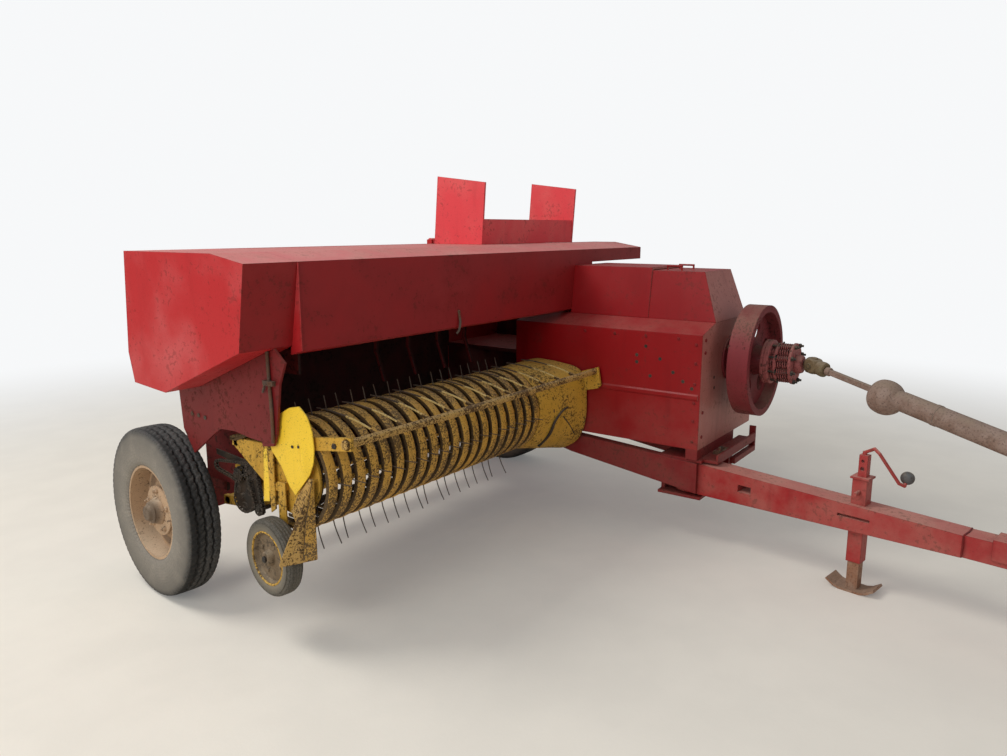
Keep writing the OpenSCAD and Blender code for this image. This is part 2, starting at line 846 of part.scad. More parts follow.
// Road tyre
module tyre(x, w, toe) {
    color(rubber)
    on_wheel(x, toe)
        rotate([0, 90, 0])
            rotate_extrude($fn = 72)
                polygon(tyre_section(w));
}

// Dished rim and hub: side is -1 when the outside faces -X
module rim(x, w, side, toe) {
    half = w * 0.40;
    color(tan_rim)
    on_wheel(x, toe)
        rotate([0, side * 90, 0])
            rotate_extrude($fn = 72)
                polygon([
                    [spindle_r + fit, -46],
                    [spindle_r + 34, -46],
                    [spindle_r + 34, -22],
                    [120, -22],
                    [150, -40],
                    [rim_d / 2 - 12, -half + 6],
                    [rim_d / 2 - 12, -half],
                    [rim_d / 2, -half],
                    [rim_d / 2, half],
                    [rim_d / 2 - 12, half],
                    [rim_d / 2 - 12, -half + 40],
                    [156, -26],
                    [124, -10],
                    [spindle_r + 34, -10],
                    [spindle_r + 34, 30],
                    [spindle_r + 20, 56],
                    [0, 56],
                    [0, 42 + seat],
                    [spindle_r + fit, 42 + seat]]);
}

// Tongue: tapered outer sleeve, thinner front part and pivot boss
module tongue_beam() {
    half = tongue_side / 2;
    front_low = front_top - front_h;
    color(dark_red)
    on_tongue()
    difference() {
        union() {
            across(-half, half)
                polygon([
                    [0, tongue_low],
                    [0, tongue_top],
                    [-sleeve_end, front_top],
                    [-sleeve_end, front_low]]);
            block([-half + 8, 30 - tongue_len, front_low], [half - 8, 1 - sleeve_end, front_top]);
            translate([0, 0, tongue_low])
                cylinder(h = tongue_h, r = half);
        }
        translate([0, 0, tongue_low - 1])
            cylinder(h = tongue_h + 2, r = 22 + fit);
        // slots through the sides, and the square hole of the jack
        block([-half - 1, -366, tongue_z - 11], [half + 1, -301, tongue_z + 22]);
        block([-half - 1, -897, tongue_z - 2], [-jack_side / 2 - 4, -764, tongue_z + 10]);
        block([-jack_side / 2, -jack_at - jack_side / 2, tongue_low],
            [jack_side / 2, -jack_at + jack_side / 2, tongue_top]);
    }
}

// Hitch: two plates with the pin hole, bolted over the front of the tongue
module hitch_clevis() {
    half = tongue_side / 2 - 8;
    color(dark_red)
    on_tongue()
    for (z = [front_top, front_top - front_h - plate_t])
        difference() {
            union() {
                block([-half, -tongue_len, z], [half, 220 - tongue_len, z + plate_t]);
                translate([0, -tongue_len, z])
                    cylinder(h = plate_t, r = half);
            }
            translate([0, -tongue_len, z - 1])
                cylinder(h = plate_t + 2, r = hitch_r);
        }
}

// Stand on the tongue that leans over to carry the front of the stored driveline
module driveline_stand() {
    half = tongue_side / 2 - 8;
    // the place of the stand along the machine, and how far the driveline runs to it
    stand_y = tongue_y - stand_at * cos(tongue_yaw);
    run = (drive_joint_y() - stand_y) / cos(driveline_yaw);
    lean = drive_x + run * sin(driveline_yaw) - tongue_x - stand_at * sin(tongue_yaw);
    rest_z = drive_z - run * tan(driveline_fall) - guard_tube_r / cos(driveline_fall) - 16;
    color(red)
    on_tongue() {
        along(-stand_at - 8, -stand_at + 8)
            polygon([
                [-half, front_top],
                [half, front_top],
                [lean + 22, rest_z],
                [lean - 22, rest_z]]);
        block([lean - 60, -stand_at - 40, rest_z - 12], [lean + 60, -stand_at + 40, rest_z]);
        // foot plate on the side of the beam
        block([-half - 8, -stand_at - 60, front_top - 70], [-half, -stand_at + 60, front_top + 12]);
        block([-half - 1, -stand_at - 60, front_top], [half, -stand_at + 60, front_top + 12]);
    }
}

// Outer tube of the jack down through the tongue, with its pin, head and crank
module jack_tube() {
    half = jack_side / 2;
    low = 130;
    top = tongue_z + 169;
    crank = [
        [0, 0, top + 110],
        [-8, -40, top + 134],
        [-12, -62, top + 118],
        [35, -132, top - 4],
        [50, -149, top - 14],
        [76, -150, top + 14]];
    color(dark_red)
    on_tongue()
    translate([0, -jack_at, 0]) {
        difference() {
            block([-half, -half, low], [half, half, top]);
            block([-half + 6, -half + 6, low - 1], [half - 6, half - 6, top - 6]);
        }
        // pin across the tube above the beam
        bar_x(-half - 46, half + 46, 0, tongue_top + 32, 9);
        block([-half - 8, -half - 8, top - 2], [half + 8, half + 8, top + 6]);
        // head with two holes
        difference() {
            block([-16, -20, top + 5], [18, 16, top + 100]);
            bar_x(-17, 19, 0, top + 40, 8);
            bar_x(-17, 19, 0, top + 74, 6);
        }
    }
    color(red)
    on_tongue()
    translate([0, -jack_at, 0]) {
        rod([0, 0, top + 99], [0, 0, top + 114], 9);
        for (i = [0 : len(crank) - 2]) {
            rod(crank[i], crank[i + 1], 7);
            translate(crank[i + 1])
                sphere(r = 7.2, $fn = 16);
        }
    }
    color(steel)
    on_tongue()
    translate([0, -jack_at, 0] + crank[5])
        sphere(r = 27);
}

// Inner leg of the jack with its curved foot
module jack_leg() {
    half = jack_side / 2 - 6 - seat;
    up = 30;
    color(steel)
    on_tongue()
    translate([0, -jack_at, 0]) {
        block([-half, -half, 9], [half, half, tongue_top - 125]);
        across(-50, 50)
            polygon(bent([
                [-foot_len / 2, up],
                [-foot_len / 2 + 34, 7],
                [-foot_len / 2 + 60, 0],
                [foot_len / 2 - 60, 0],
                [foot_len / 2 - 34, 7],
                [foot_len / 2, up]], 10));
    }
}

// Flywheel: rim, web with windows and hub, on its stub shaft in the flange bearing
module flywheel() {
    y0 = fly_front_y();
    r = flywheel_d / 2;
    color(maroon) {
        difference() {
            translate([drive_x, y0 + flywheel_w, drive_z])
                rotate([90, 0, 0])
                    rotate_extrude($fn = 72)
                        polygon([
                            [0, -40],
                            [62, -40],
                            [62, 34],
                            [r - 40, 34],
                            [r - 34, 0],
                            [r, 0],
                            [r, flywheel_w],
                            [r - 34, flywheel_w],
                            [r - 40, 48],
                            [75, 48],
                            [62, flywheel_w],
                            [0, flywheel_w]]);
            for (a = [0 : 72 : 359])
                translate([drive_x, 0, drive_z])
                    rotate([0, a, 0])
                        bar_y(0, y0 - 1, y0 + flywheel_w + 1, 152, 44);
        }
        bar_y(drive_x, y0 + flywheel_w - 20, front_y + sheet - seat, drive_z, 30);
    }
}

// Slip clutch on the front of the flywheel: plates, a ring of springs on bolts and the hub
module slip_clutch() {
    y0 = fly_front_y();
    hub_end = drive_joint_y() + joint_r + seat;
    color(maroon) {
        bar_y(drive_x, y0 - 38, y0, drive_z, 108);
        bar_y(drive_x, y0 - 145, y0 - 130, drive_z, 100);
        bar_y(drive_x, hub_end, y0, drive_z, 38);
    }
    color(steel)
    for (a = [0 : 45 : 359])
        translate([drive_x, 0, drive_z])
            rotate([0, a, 0]) {
                bar_y(0, y0 - 131, y0 - 37, 78, 15);
                rotate([0, 22.5, 0])
                    bar_y(0, y0 - 168, y0 - 37, 91, 6);
            }
}

// Front face of the flywheel rim, along
function fly_front_y() = front_y - 185;

// Middle of the driveline's universal joint, along
function drive_joint_y() = front_y - 411;

// Things drawn from the joint's middle straight ahead, turned to the driveline's line
module on_driveline() {
    translate([drive_x, drive_joint_y(), drive_z])
        rotate([0, 0, driveline_yaw])
            rotate([driveline_fall, 0, 0])
                children();
}

// Universal joint: a cross in a ball-shaped yoke pair that turns about its own middle
module driveline_joint() {
    flat = joint_r * 0.74;
    color(steel)
    on_driveline() {
        difference() {
            sphere(r = joint_r);
            for (s = [-1, 1]) {
                translate([s * (flat + joint_r), 0, 0])
                    cube(2 * joint_r, center = true);
                translate([0, 0, s * (flat + joint_r)])
                    cube(2 * joint_r, center = true);
            }
        }
        // bearing caps of the cross
        rod([-flat - 6, 0, 0], [flat + 6, 0, 0], 13);
        rod([0, 0, -flat - 6], [0, 0, flat + 6], 13);
        bar_y(0, -75, -20, 0, 36);
    }
}

// Driveline: inner bar, bell guard, guard tube and front yoke with the shaft bore
module driveline_tube() {
    bell = 330;
    color(steel)
    on_driveline() {
        block([-15, -bell - 10, -15], [15, -75, 15]);
        translate([0, -bell, 0])
            rotate([90, 0, 0])
                rotate_extrude()
                    polygon([
                        [0, 0],
                        [30, 0],
                        [56, 12],
                        [72, 38],
                        [77, 70],
                        [72, 100],
                        [58, 124],
                        [guard_tube_r + 4, 138],
                        [guard_tube_r, 142],
                        [0, 142]]);
        bar_y(0, 130 - driveline_len, -bell - 141, 0, guard_tube_r);
        difference() {
            bar_y(0, -driveline_len, 131 - driveline_len, 0, 29);
            bar_y(0, -driveline_len - 1, 76 - driveline_len, 0, 17.5);
        }
    }
}

// Outline of the drum cover in steps of the band radius about the reel: along, height
function drum_path() = concat(
    [for (p = [[0.14, -1.33], [-0.45, -1.31], [-0.75, -1.20], [-1.01, -0.99], [-1.16, -0.70],
        [-1.23, -0.37], [-1.24, 0.05], [-1.21, 0.45], [-1.15, 0.62], [-1.07, 0.76],
        [-0.91, 0.85], [-0.67, 0.90], [0, 0.96], [0.48, 0.91]])
        [reel_y, reel_z] + p * band_r],
    [[rail_y + 32, reel_z + 96]]);

// Frame of the pickup: end plates, cross members, arms and pivot tube
module pickup_frame() {
    low_y = reel_y + 300;
    low_z = reel_z - 205;
    rear = [[low_y, low_z - 18], [low_y + 18, low_z]];
    color(yellow) {
        difference() {
            across(pickup_right, pickup_right + 12)
                polygon(concat(
                    arc_points([reel_y, reel_z], 150, 60, 300, 16),
                    rear,
                    [[low_y - 30, low_z + 60], [reel_y + 150, reel_z], [rail_y + 20, reel_z + 70],
                        [rail_y + 26, reel_z + 88]]));
            bar_x(pickup_right - 1, pickup_right + 13, reel_y, reel_z, 18 + fit);
        }
        // closed left end with the outline of the drum cover
        difference() {
            across(pickup_left, pickup_left + 12)
                polygon(concat(drum_path(), [[rail_y + 32, reel_z + 56], rear[1], rear[0]]));
            bar_x(pickup_left - 1, pickup_left + 13, reel_y, reel_z, 18 + fit);
        }
        block([pickup_right, rail_y, reel_z + 56], [pickup_left + 1, rail_y + 32, reel_z + 88]);
        bar_x(floor_right_x - 34, pickup_left + 12, low_y, low_z, 18);
        // arms from the lower cross tube to the pivot tube
        for (x = [floor_right_x - 34, pickup_left - 8])
            across(x, x + 20)
                polygon([
                    [low_y - 8, low_z + 16],
                    [low_y + 30, low_z + 16],
                    [pickup_pivot_y + 24, pickup_pivot_z + 18],
                    [pickup_pivot_y + 24, pickup_pivot_z - 22],
                    [low_y - 8, low_z - 16]]);
        bar_x(floor_right_x - 34, pickup_left + 12, pickup_pivot_y, pickup_pivot_z, 20);
        // flat right bracket and looped left bracket of the wind guard pipe
        difference() {
            across(pickup_right - 12, pickup_right)
                polygon([
                    [guard_y - 24, guard_z - 20],
                    [guard_y - 24, guard_z + 28],
                    [reel_y - 110, guard_z - 4],
                    [reel_y - 60, guard_z - 34],
                    [reel_y - 40, reel_z + 60],
                    [reel_y - 110, guard_z - 52]]);
            bar_x(pickup_right - 13, pickup_right + 1, guard_y, guard_z, 16 + fit);
            bar_x(pickup_right - 13, pickup_right + 1, guard_y + 58, guard_z - 14, 9);
        }
        difference() {
            across(pickup_left, pickup_left + 12)
                polygon([
                    [guard_y + 75, guard_z - 6],
                    [guard_y - 20, guard_z + 24],
                    [guard_y - 37, guard_z - 68],
                    [guard_y - 21, guard_z - 86],
                    [guard_y + 75, guard_z - 110]]);
            bar_x(pickup_left - 1, pickup_left + 13, guard_y, guard_z, 16 + fit);
        }
    }
}

// Stripper bands wrapped round the reel's front, joined on the rear strip, and the drum cover
module stripper_bands() {
    w = band_pitch - band_gap;
    flare = 1.147;
    path = concat(
        [[reel_y + 110, reel_z - band_r + 4]],
        arc_points([reel_y, reel_z], band_r, 270, 72, 14),
        [[rail_y, reel_z + 96], [rail_y + 32, reel_z + 96]]);
    color(yellow) {
        for (i = [0 : bands - 1])
            across(band_right_x + i * band_pitch, band_right_x + i * band_pitch + w)
                polygon(bent(path, -8));
        block([band_right_x, rail_y + 4, reel_z + 88],
            [pickup_left, rail_y + 32, reel_z + 96]);
        // the drum cover flares from the bands' size to its closed end
        translate([band_left_x + 5, reel_y + 133, reel_z + 263])
            rotate([90, 0, 90])
                linear_extrude(pickup_left - band_left_x - 5, scale = flare)
                    polygon([for (p = bent(drum_path(), -8)) (p - [reel_y + 133, reel_z + 263]) / flare]);
    }
}

// Bright leaf-shaped end shield, triangular shoe and the gauge wheel's posts and pin
module pickup_shields() {
    leaf_x = pickup_right - 34;
    shoe_y = reel_y - 136;
    color(bright_yellow) {
        across(leaf_x, leaf_x + 12)
            polygon([
                [reel_y - 59, reel_z - 45],
                [reel_y - 130, reel_z + 23],
                [reel_y - 157, reel_z + 128],
                [reel_y - 150, reel_z + 195],
                [reel_y - 126, reel_z + 244],
                [reel_y - 89, reel_z + 273],
                [reel_y - 36, reel_z + 262],
                [reel_y + 60, reel_z + 200],
                [reel_y + 80, reel_z + 90],
                [reel_y + 26, reel_z + 40],
                [reel_y - 8, reel_z - 16]]);
        // spacer to the end plate
        block([leaf_x + 11, reel_y - 90, reel_z + 12], [pickup_right, reel_y - 30, reel_z + 56]);
    }
    color(yellow) {
        translate([leaf_x + 12, shoe_y, 0])
            rotate([0, 0, -17])
                along(-8, 0)
                    polygon([
                        [-8, reel_z + 20],
                        [-22, reel_z - 20],
                        [-80, reel_z - 145],
                        [-138, reel_z - 268],
                        [0, reel_z - 284],
                        [0, reel_z + 20]]);
        // gusset that joins the shoe to the leaf
        across(leaf_x, leaf_x + 12)
            polygon([
                [shoe_y - 1, reel_z + 18],
                [shoe_y - 1, reel_z - 280],
                [shoe_y + 18, reel_z - 280],
                [reel_y - 24, reel_z - 90],
                [reel_y - 24, reel_z + 18]]);
        // posts with the gauge wheel's pin
        across(leaf_x + 12, pickup_right)
            polygon([
                [gauge_y - 24, reel_z - 30],
                [gauge_y - 24, gauge_z - 26],
                [gauge_y + 24, gauge_z - 26],
                [gauge_y + 24, reel_z - 140],
                [gauge_y + 40, reel_z - 130],
                [gauge_y + 40, reel_z + 80],
                [gauge_y + 64, reel_z + 84],
                [gauge_y + 64, reel_z - 160],
                [gauge_y + 70, reel_z - 20],
                [gauge_y + 70, reel_z + 90],
                [gauge_y + 30, reel_z + 86],
                [gauge_y + 20, reel_z - 30]]);
        translate([gauge_x, gauge_y, gauge_z])
            rotate([0, 0, -wheel_toe])
                bar_x(-46, pickup_right - gauge_x - 10, 0, 0, 12);
    }
}

// Reel: shaft, four tine bars on discs and the rows of tines
module reel() {
    tine = 3.5;
    color(steel) {
        bar_x(pickup_right + seat, pickup_left + 12 - seat, reel_y, reel_z, 18);
        for (x = [pickup_right + 20, pickup_right + 20 + 8 * band_pitch,
            pickup_right + 20 + 16 * band_pitch, pickup_left - 30])
            bar_x(x, x + 5, reel_y, reel_z, bar_circle_r + 16);
        for (a = [0 : 90 : 359])
            translate([0, reel_y, reel_z])
                rotate([a, 0, 0])
                    bar_x(pickup_right + 20, pickup_left - 25, bar_circle_r, 0, 13);
        for (i = [1 : bands - 1])
            for (a = [0 : 90 : 359])
                translate([band_right_x + i * band_pitch - band_gap / 2, reel_y, reel_z])
                    rotate([a, 0, 0])
                        rod([0, bar_circle_r, 0], [0, tine_tip_r - 12, 70], tine, $fn = 6);
    }
}

// Gauge wheel with its own bore
module gauge_wheel() {
    r = gauge_d / 2;
    color(rubber)
    translate([gauge_x, gauge_y, gauge_z])
        rotate([0, 90, -wheel_toe])
            rotate_extrude()
                polygon([
                    [12 + fit, -38],
                    [24, -38],
                    [24, -12],
                    [r - 56, -12],
                    [r - 50, -30],
                    [r - 12, -35],
                    [r, -22],
                    [r, 22],
                    [r - 12, 35],
                    [r - 50, 30],
                    [r - 56, 12],
                    [24, 12],
                    [24, 34],
                    [12 + fit, 34]]);
}

// Wind guard: pipe in the pickup's brackets with its rods laid back over the bands
module wind_guard() {
    rods = 11;
    color(yellow)
    bar_x(pickup_right - 20, pickup_left + 16, guard_y, guard_z, 16);
    color(steel)
    for (i = [0 : rods - 1])
        translate([band_right_x + (band_pitch - band_gap) / 2 + (2 * i + 2) * band_pitch, guard_y, guard_z])
            rod([0, 0, 0], [0, 330, 72], 5, $fn = 8);
}

// Knotter cover, thrown open onto the feeder top: roof, two side plates and lip
module knotter_cover() {
    x0 = case_x - cover_w / 2;
    x1 = case_x + cover_w / 2;
    y1 = hinge_y - 86;
    y0 = y1 - hood + 7;
    z0 = feeder_z + seat;
    color(red) {
        block([x0, y0, z0], [x1, y1, z0 + sheet]);
        for (x = [x0, x1 - sheet])
            across(x, x + sheet)
                polygon([
                    [y0, z0],
                    [y0 - 23, z0 + hood - 16],
                    [y1 - 29, z0 + hood + 24],
                    [y1, z0]]);
        block([x0, y0, z0], [x1, y0 + sheet, z0 + 130]);
        // hinge leaves and knuckles
        for (x = [x0 + 60, x1 - 140])
            difference() {
                union() {
                    block([x, y1 - 10, z0], [x + 80, hinge_y, z0 + sheet]);
                    bar_x(x, x + 80, hinge_y, hinge_z, 14);
                }
                bar_x(x - 1, x + 81, hinge_y, hinge_z, 7 + fit);
            }
    }
}

// Lid of the twine box with its hinge knuckles
module twine_lid() {
    x0 = case_left + 9;
    top = twine_z + twine_h;
    color(red)
    difference() {
        union() {
            block([x0 + 30, twine_y - 4, top + seat], [x0 + twine_w + 4, twine_y + twine_len + 4, top + 10]);
            for (y = [twine_y + 60, twine_y + twine_len - 120])
                difference() {
                    union() {
                        block([x0 + 14, y + 14, top + 8], [x0 + 40, y + 46, top + 14]);
                        bar_y(x0 + 14, y + 14, y + 46, top + 20, 12);
                    }
                    bar_y(x0 + 14, y, y + 60, top + 20, 6 + fit);
                }
        }
    }
}

// Needle yoke: two side arms, a cross beam and two needles on arcs about the pivot
module needle_yoke() {
    a0 = 212;
    r_in = needle_r - needle_t;
    color(steel) {
        for (x = [case_right - 34, case_left + 14])
            difference() {
                union() {
                    across(x, x + 20)
                        polygon([
                            [needle_y - 30, needle_z],
                            [needle_y - 26, needle_z - needle_r - 4],
                            [needle_y + 26, needle_z - needle_r - 4],
                            [needle_y + 30, needle_z]]);
                    bar_x(x, x + 20, needle_y, needle_z, 34);
                }
                bar_x(x - 1, x + 21, needle_y, needle_z, 18 + fit);
            }
        bar_x(case_right - 34, case_left + 34, needle_y, needle_z - needle_r + 20, 22);
        for (side = [-1, 1])
            arc_x(needle_y, needle_z, r_in, needle_r, a0, 272,
                case_x + side * needle_gap / 2 - 9, case_x + side * needle_gap / 2 + 9);
    }
}

// Bale chute hinged at the rear of the floor, laid out flat
module bale_chute() {
    x0 = case_in_right + 6;
    x1 = case_in_left - 6;
    y1 = chute_y + chute_len;
    color(red) {
        block([x0, chute_y + 20, chute_pin_z - 6], [x1, y1, chute_pin_z + 6]);
        for (x = [x0, x1 - 10])
            block([x, chute_y + 110, chute_pin_z], [x + 10, y1, chute_pin_z + 60]);
        block([x0, y1 - 12, chute_pin_z - 40], [x1, y1, chute_pin_z + 6]);
        for (x = [x0 + 60, x1 - 120])
            difference() {
                union() {
                    block([x, chute_y, chute_pin_z - 6], [x + 60, chute_y + 21, chute_pin_z + 6]);
                    bar_x(x, x + 60, chute_y, chute_pin_z, 15);
                }
                bar_x(x - 1, x + 61, chute_y, chute_pin_z, 8 + fit);
            }
    }
}

// Star wheel on the roof that measures the bale
module metering_wheel() {
    z = case_roof + 96;
    teeth = 12;
    color(steel)
    difference() {
        union() {
            bar_x(case_x - 6, case_x + 6, needle_y, z, 104);
            for (i = [0 : teeth - 1])
                translate([case_x - 6, needle_y, z])
                    rotate([90 + i * 360 / teeth, 0, 0])
                        across(0, 12)
                            polygon([[95, -16], [128, 0], [95, 16]]);
            bar_x(case_x - 20, case_x + 20, needle_y, z, 24);
        }
        bar_x(case_x - 21, case_x + 21, needle_y, z, 10 + fit);
    }
}

// Knotter shaft with two cam discs and the drive disc
module knotter_shaft() {
    color(steel) {
        bar_x(case_right + 26, case_left + 30, knot_y, knot_z, 18);
        for (side = [-1, 1])
            bar_x(case_x + side * needle_gap / 2 - 14, case_x + side * needle_gap / 2 + 14,
                knot_y, knot_z, 130);
        bar_x(case_left + 4, case_left + 20, knot_y, knot_z, 90);
    }
}

// Plunger, drawn back to the front end of its stroke
module plunger() {
    gap = 6;
    face = 90;
    color(steel)
    block([case_in_right + gap, face - 375, chamber_z + seat],
        [case_in_left - gap, face, case_top - gap]);
}

// Feeder carriage on its rail, with four packer fingers
module feeder_carriage() {
    z = feeder_low_z + 200;
    y = feeder_y + 420;
    color(steel) {
        block([-500, y - 60, z - 30], [300, y + 60, z - seat]);
        for (x = [-420, -200, 20, 240])
            translate([x, y, 0]) {
                rod([0, 0, z - 20], [0, 20, z - 330], 12);
                rod([0, 20, z - 320], [0, -30, z - 460], 10);
            }
    }
}

bale_case();
front_housing();
crank_cover();
crank_lid();
gearbox();
feeder_housing();
feeder_end_cap();
feeder_floor();
feeder_side();
feed_shield();
main_frame();
axle();
bearing_housing();
knotter_frame();
twine_box();
tension_bars();
feeder_drive();
pickup_drive();
tyre(wheel_right_x, tyre_w, wheel_toe);  // tyre_right
rim(wheel_right_x, tyre_w, -1, wheel_toe);  // rim_right
tyre(wheel_left_x, tyre_left_w, 0);  // tyre_left
rim(wheel_left_x, tyre_left_w, 1, 0);  // rim_left
tongue_beam();
hitch_clevis();
driveline_stand();
jack_tube();
jack_leg();
flywheel();
slip_clutch();
driveline_joint();
driveline_tube();
pickup_frame();
stripper_bands();
pickup_shields();
reel();
gauge_wheel();
wind_guard();
knotter_cover();
twine_lid();
needle_yoke();
bale_chute();
metering_wheel();
knotter_shaft();
plunger();
feeder_carriage();
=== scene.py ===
"""Looks of a trailed small square baler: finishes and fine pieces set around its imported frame.

X runs across the machine towards the bale case, Y runs back from the hitch, Z is up, in metres.
"""

from __future__ import annotations

import json
import logging
import math
from dataclasses import dataclass
from enum import Enum
from typing import Any, Iterable, Protocol, Sequence

import bmesh
import bpy
import numpy as np
from mathutils import Euler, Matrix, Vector

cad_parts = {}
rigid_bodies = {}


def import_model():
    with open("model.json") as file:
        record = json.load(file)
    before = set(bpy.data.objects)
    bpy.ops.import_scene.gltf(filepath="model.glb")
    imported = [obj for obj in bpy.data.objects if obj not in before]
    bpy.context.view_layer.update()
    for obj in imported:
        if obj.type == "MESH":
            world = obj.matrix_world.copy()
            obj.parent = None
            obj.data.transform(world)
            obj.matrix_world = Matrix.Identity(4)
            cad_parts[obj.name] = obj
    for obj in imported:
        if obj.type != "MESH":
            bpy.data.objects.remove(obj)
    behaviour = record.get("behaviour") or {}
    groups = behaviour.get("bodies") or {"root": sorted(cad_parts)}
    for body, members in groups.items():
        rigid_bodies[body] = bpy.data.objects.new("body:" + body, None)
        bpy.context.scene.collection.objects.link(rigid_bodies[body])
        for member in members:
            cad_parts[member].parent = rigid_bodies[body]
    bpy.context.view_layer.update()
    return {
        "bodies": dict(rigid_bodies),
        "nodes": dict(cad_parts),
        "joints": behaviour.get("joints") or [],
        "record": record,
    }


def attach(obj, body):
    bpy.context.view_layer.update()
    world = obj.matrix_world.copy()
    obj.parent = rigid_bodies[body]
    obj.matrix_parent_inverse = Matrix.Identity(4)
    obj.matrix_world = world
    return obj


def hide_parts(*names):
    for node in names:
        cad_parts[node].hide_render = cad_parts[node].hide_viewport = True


LOG = logging.getLogger("baler")
Array = np.ndarray
Colour = tuple[float, float, float]
Point = tuple[float, float, float]
TAU = 2 * math.pi
MM = 0.001
STILL = np.eye(3)
PALE: Colour = (0.93, 0.94, 0.95)
SPECULAR = 0.3
# radii in metres between which the painted shade in the rim's dish starts and ends, and where the darker hub
# middle ends
WELL_SHADE_START, WELL_SHADE_END, HUB_EDGE = (0.115, 0.150), (0.172, 0.186), (0.040, 0.062)
# points closer than this are one, and edges shorter than this are taken out
WELD, SHORT = 1e-6, 1e-7
# edges that turn more than this many degrees are rounded
BEVEL_FROM = 40


def srgb(red: int, green: int, blue: int) -> Colour:
    """A colour given in the usual 0 to 255 steps, as linear light.

    Args:
        red: red part.
        green: green part.
        blue: blue part.

    Returns:
        The colour.
    """
    parts = np.array([red, green, blue]) / 255
    light = np.where(parts <= 0.04045, parts / 12.92, ((parts + 0.055) / 1.055) ** 2.4)
    return tuple(float(x) for x in light)


# ---------------------------------------------------------------- shader sums


class Number:
    """One number socket of a material, with which sums are written as plain expressions."""

    def __init__(self, sheet: "Sheet", socket: Any) -> None:
        """Args:
        sheet: the material's nodes.
        socket: an output socket, or a plain number.
        """
        self.sheet = sheet
        self.socket = socket

    def _math(self, operation: str, first: Any, second: Any) -> "Number":
        """A Math node over two numbers."""
        node = self.sheet.node("ShaderNodeMath", {"operation": operation}, {0: first, 1: second})
        return Number(self.sheet, node.outputs[0])

    def __add__(self, other: Any) -> "Number":
        """Self plus other."""
        return self._math("ADD", self, other)

    __radd__ = __add__

    def __sub__(self, other: Any) -> "Number":
        """Self less other."""
        return self._math("SUBTRACT", self, other)

    def __rsub__(self, other: Any) -> "Number":
        """Other less self."""
        return self._math("SUBTRACT", other, self)

    def __mul__(self, other: Any) -> "Number":
        """Self times other."""
        return self._math("MULTIPLY", self, other)

    __rmul__ = __mul__

    def held(self) -> "Number":
        """The number kept between 0 and 1."""
        node = self.sheet.node("ShaderNodeClamp", {}, {"Value": self})
        return Number(self.sheet, node.outputs[0])

    def step(self, low: float, high: float) -> "Number":
        """0 below low, 1 above high and smooth between.

        Args:
            low: where it starts.
            high: where it ends.

        Returns:
            The step.
        """
        node = self.sheet.node(
            "ShaderNodeMapRange",
            {"interpolation_type": "SMOOTHSTEP"},
            {"Value": self, "From Min": low, "From Max": high},
        )
        return Number(self.sheet, node.outputs[0])


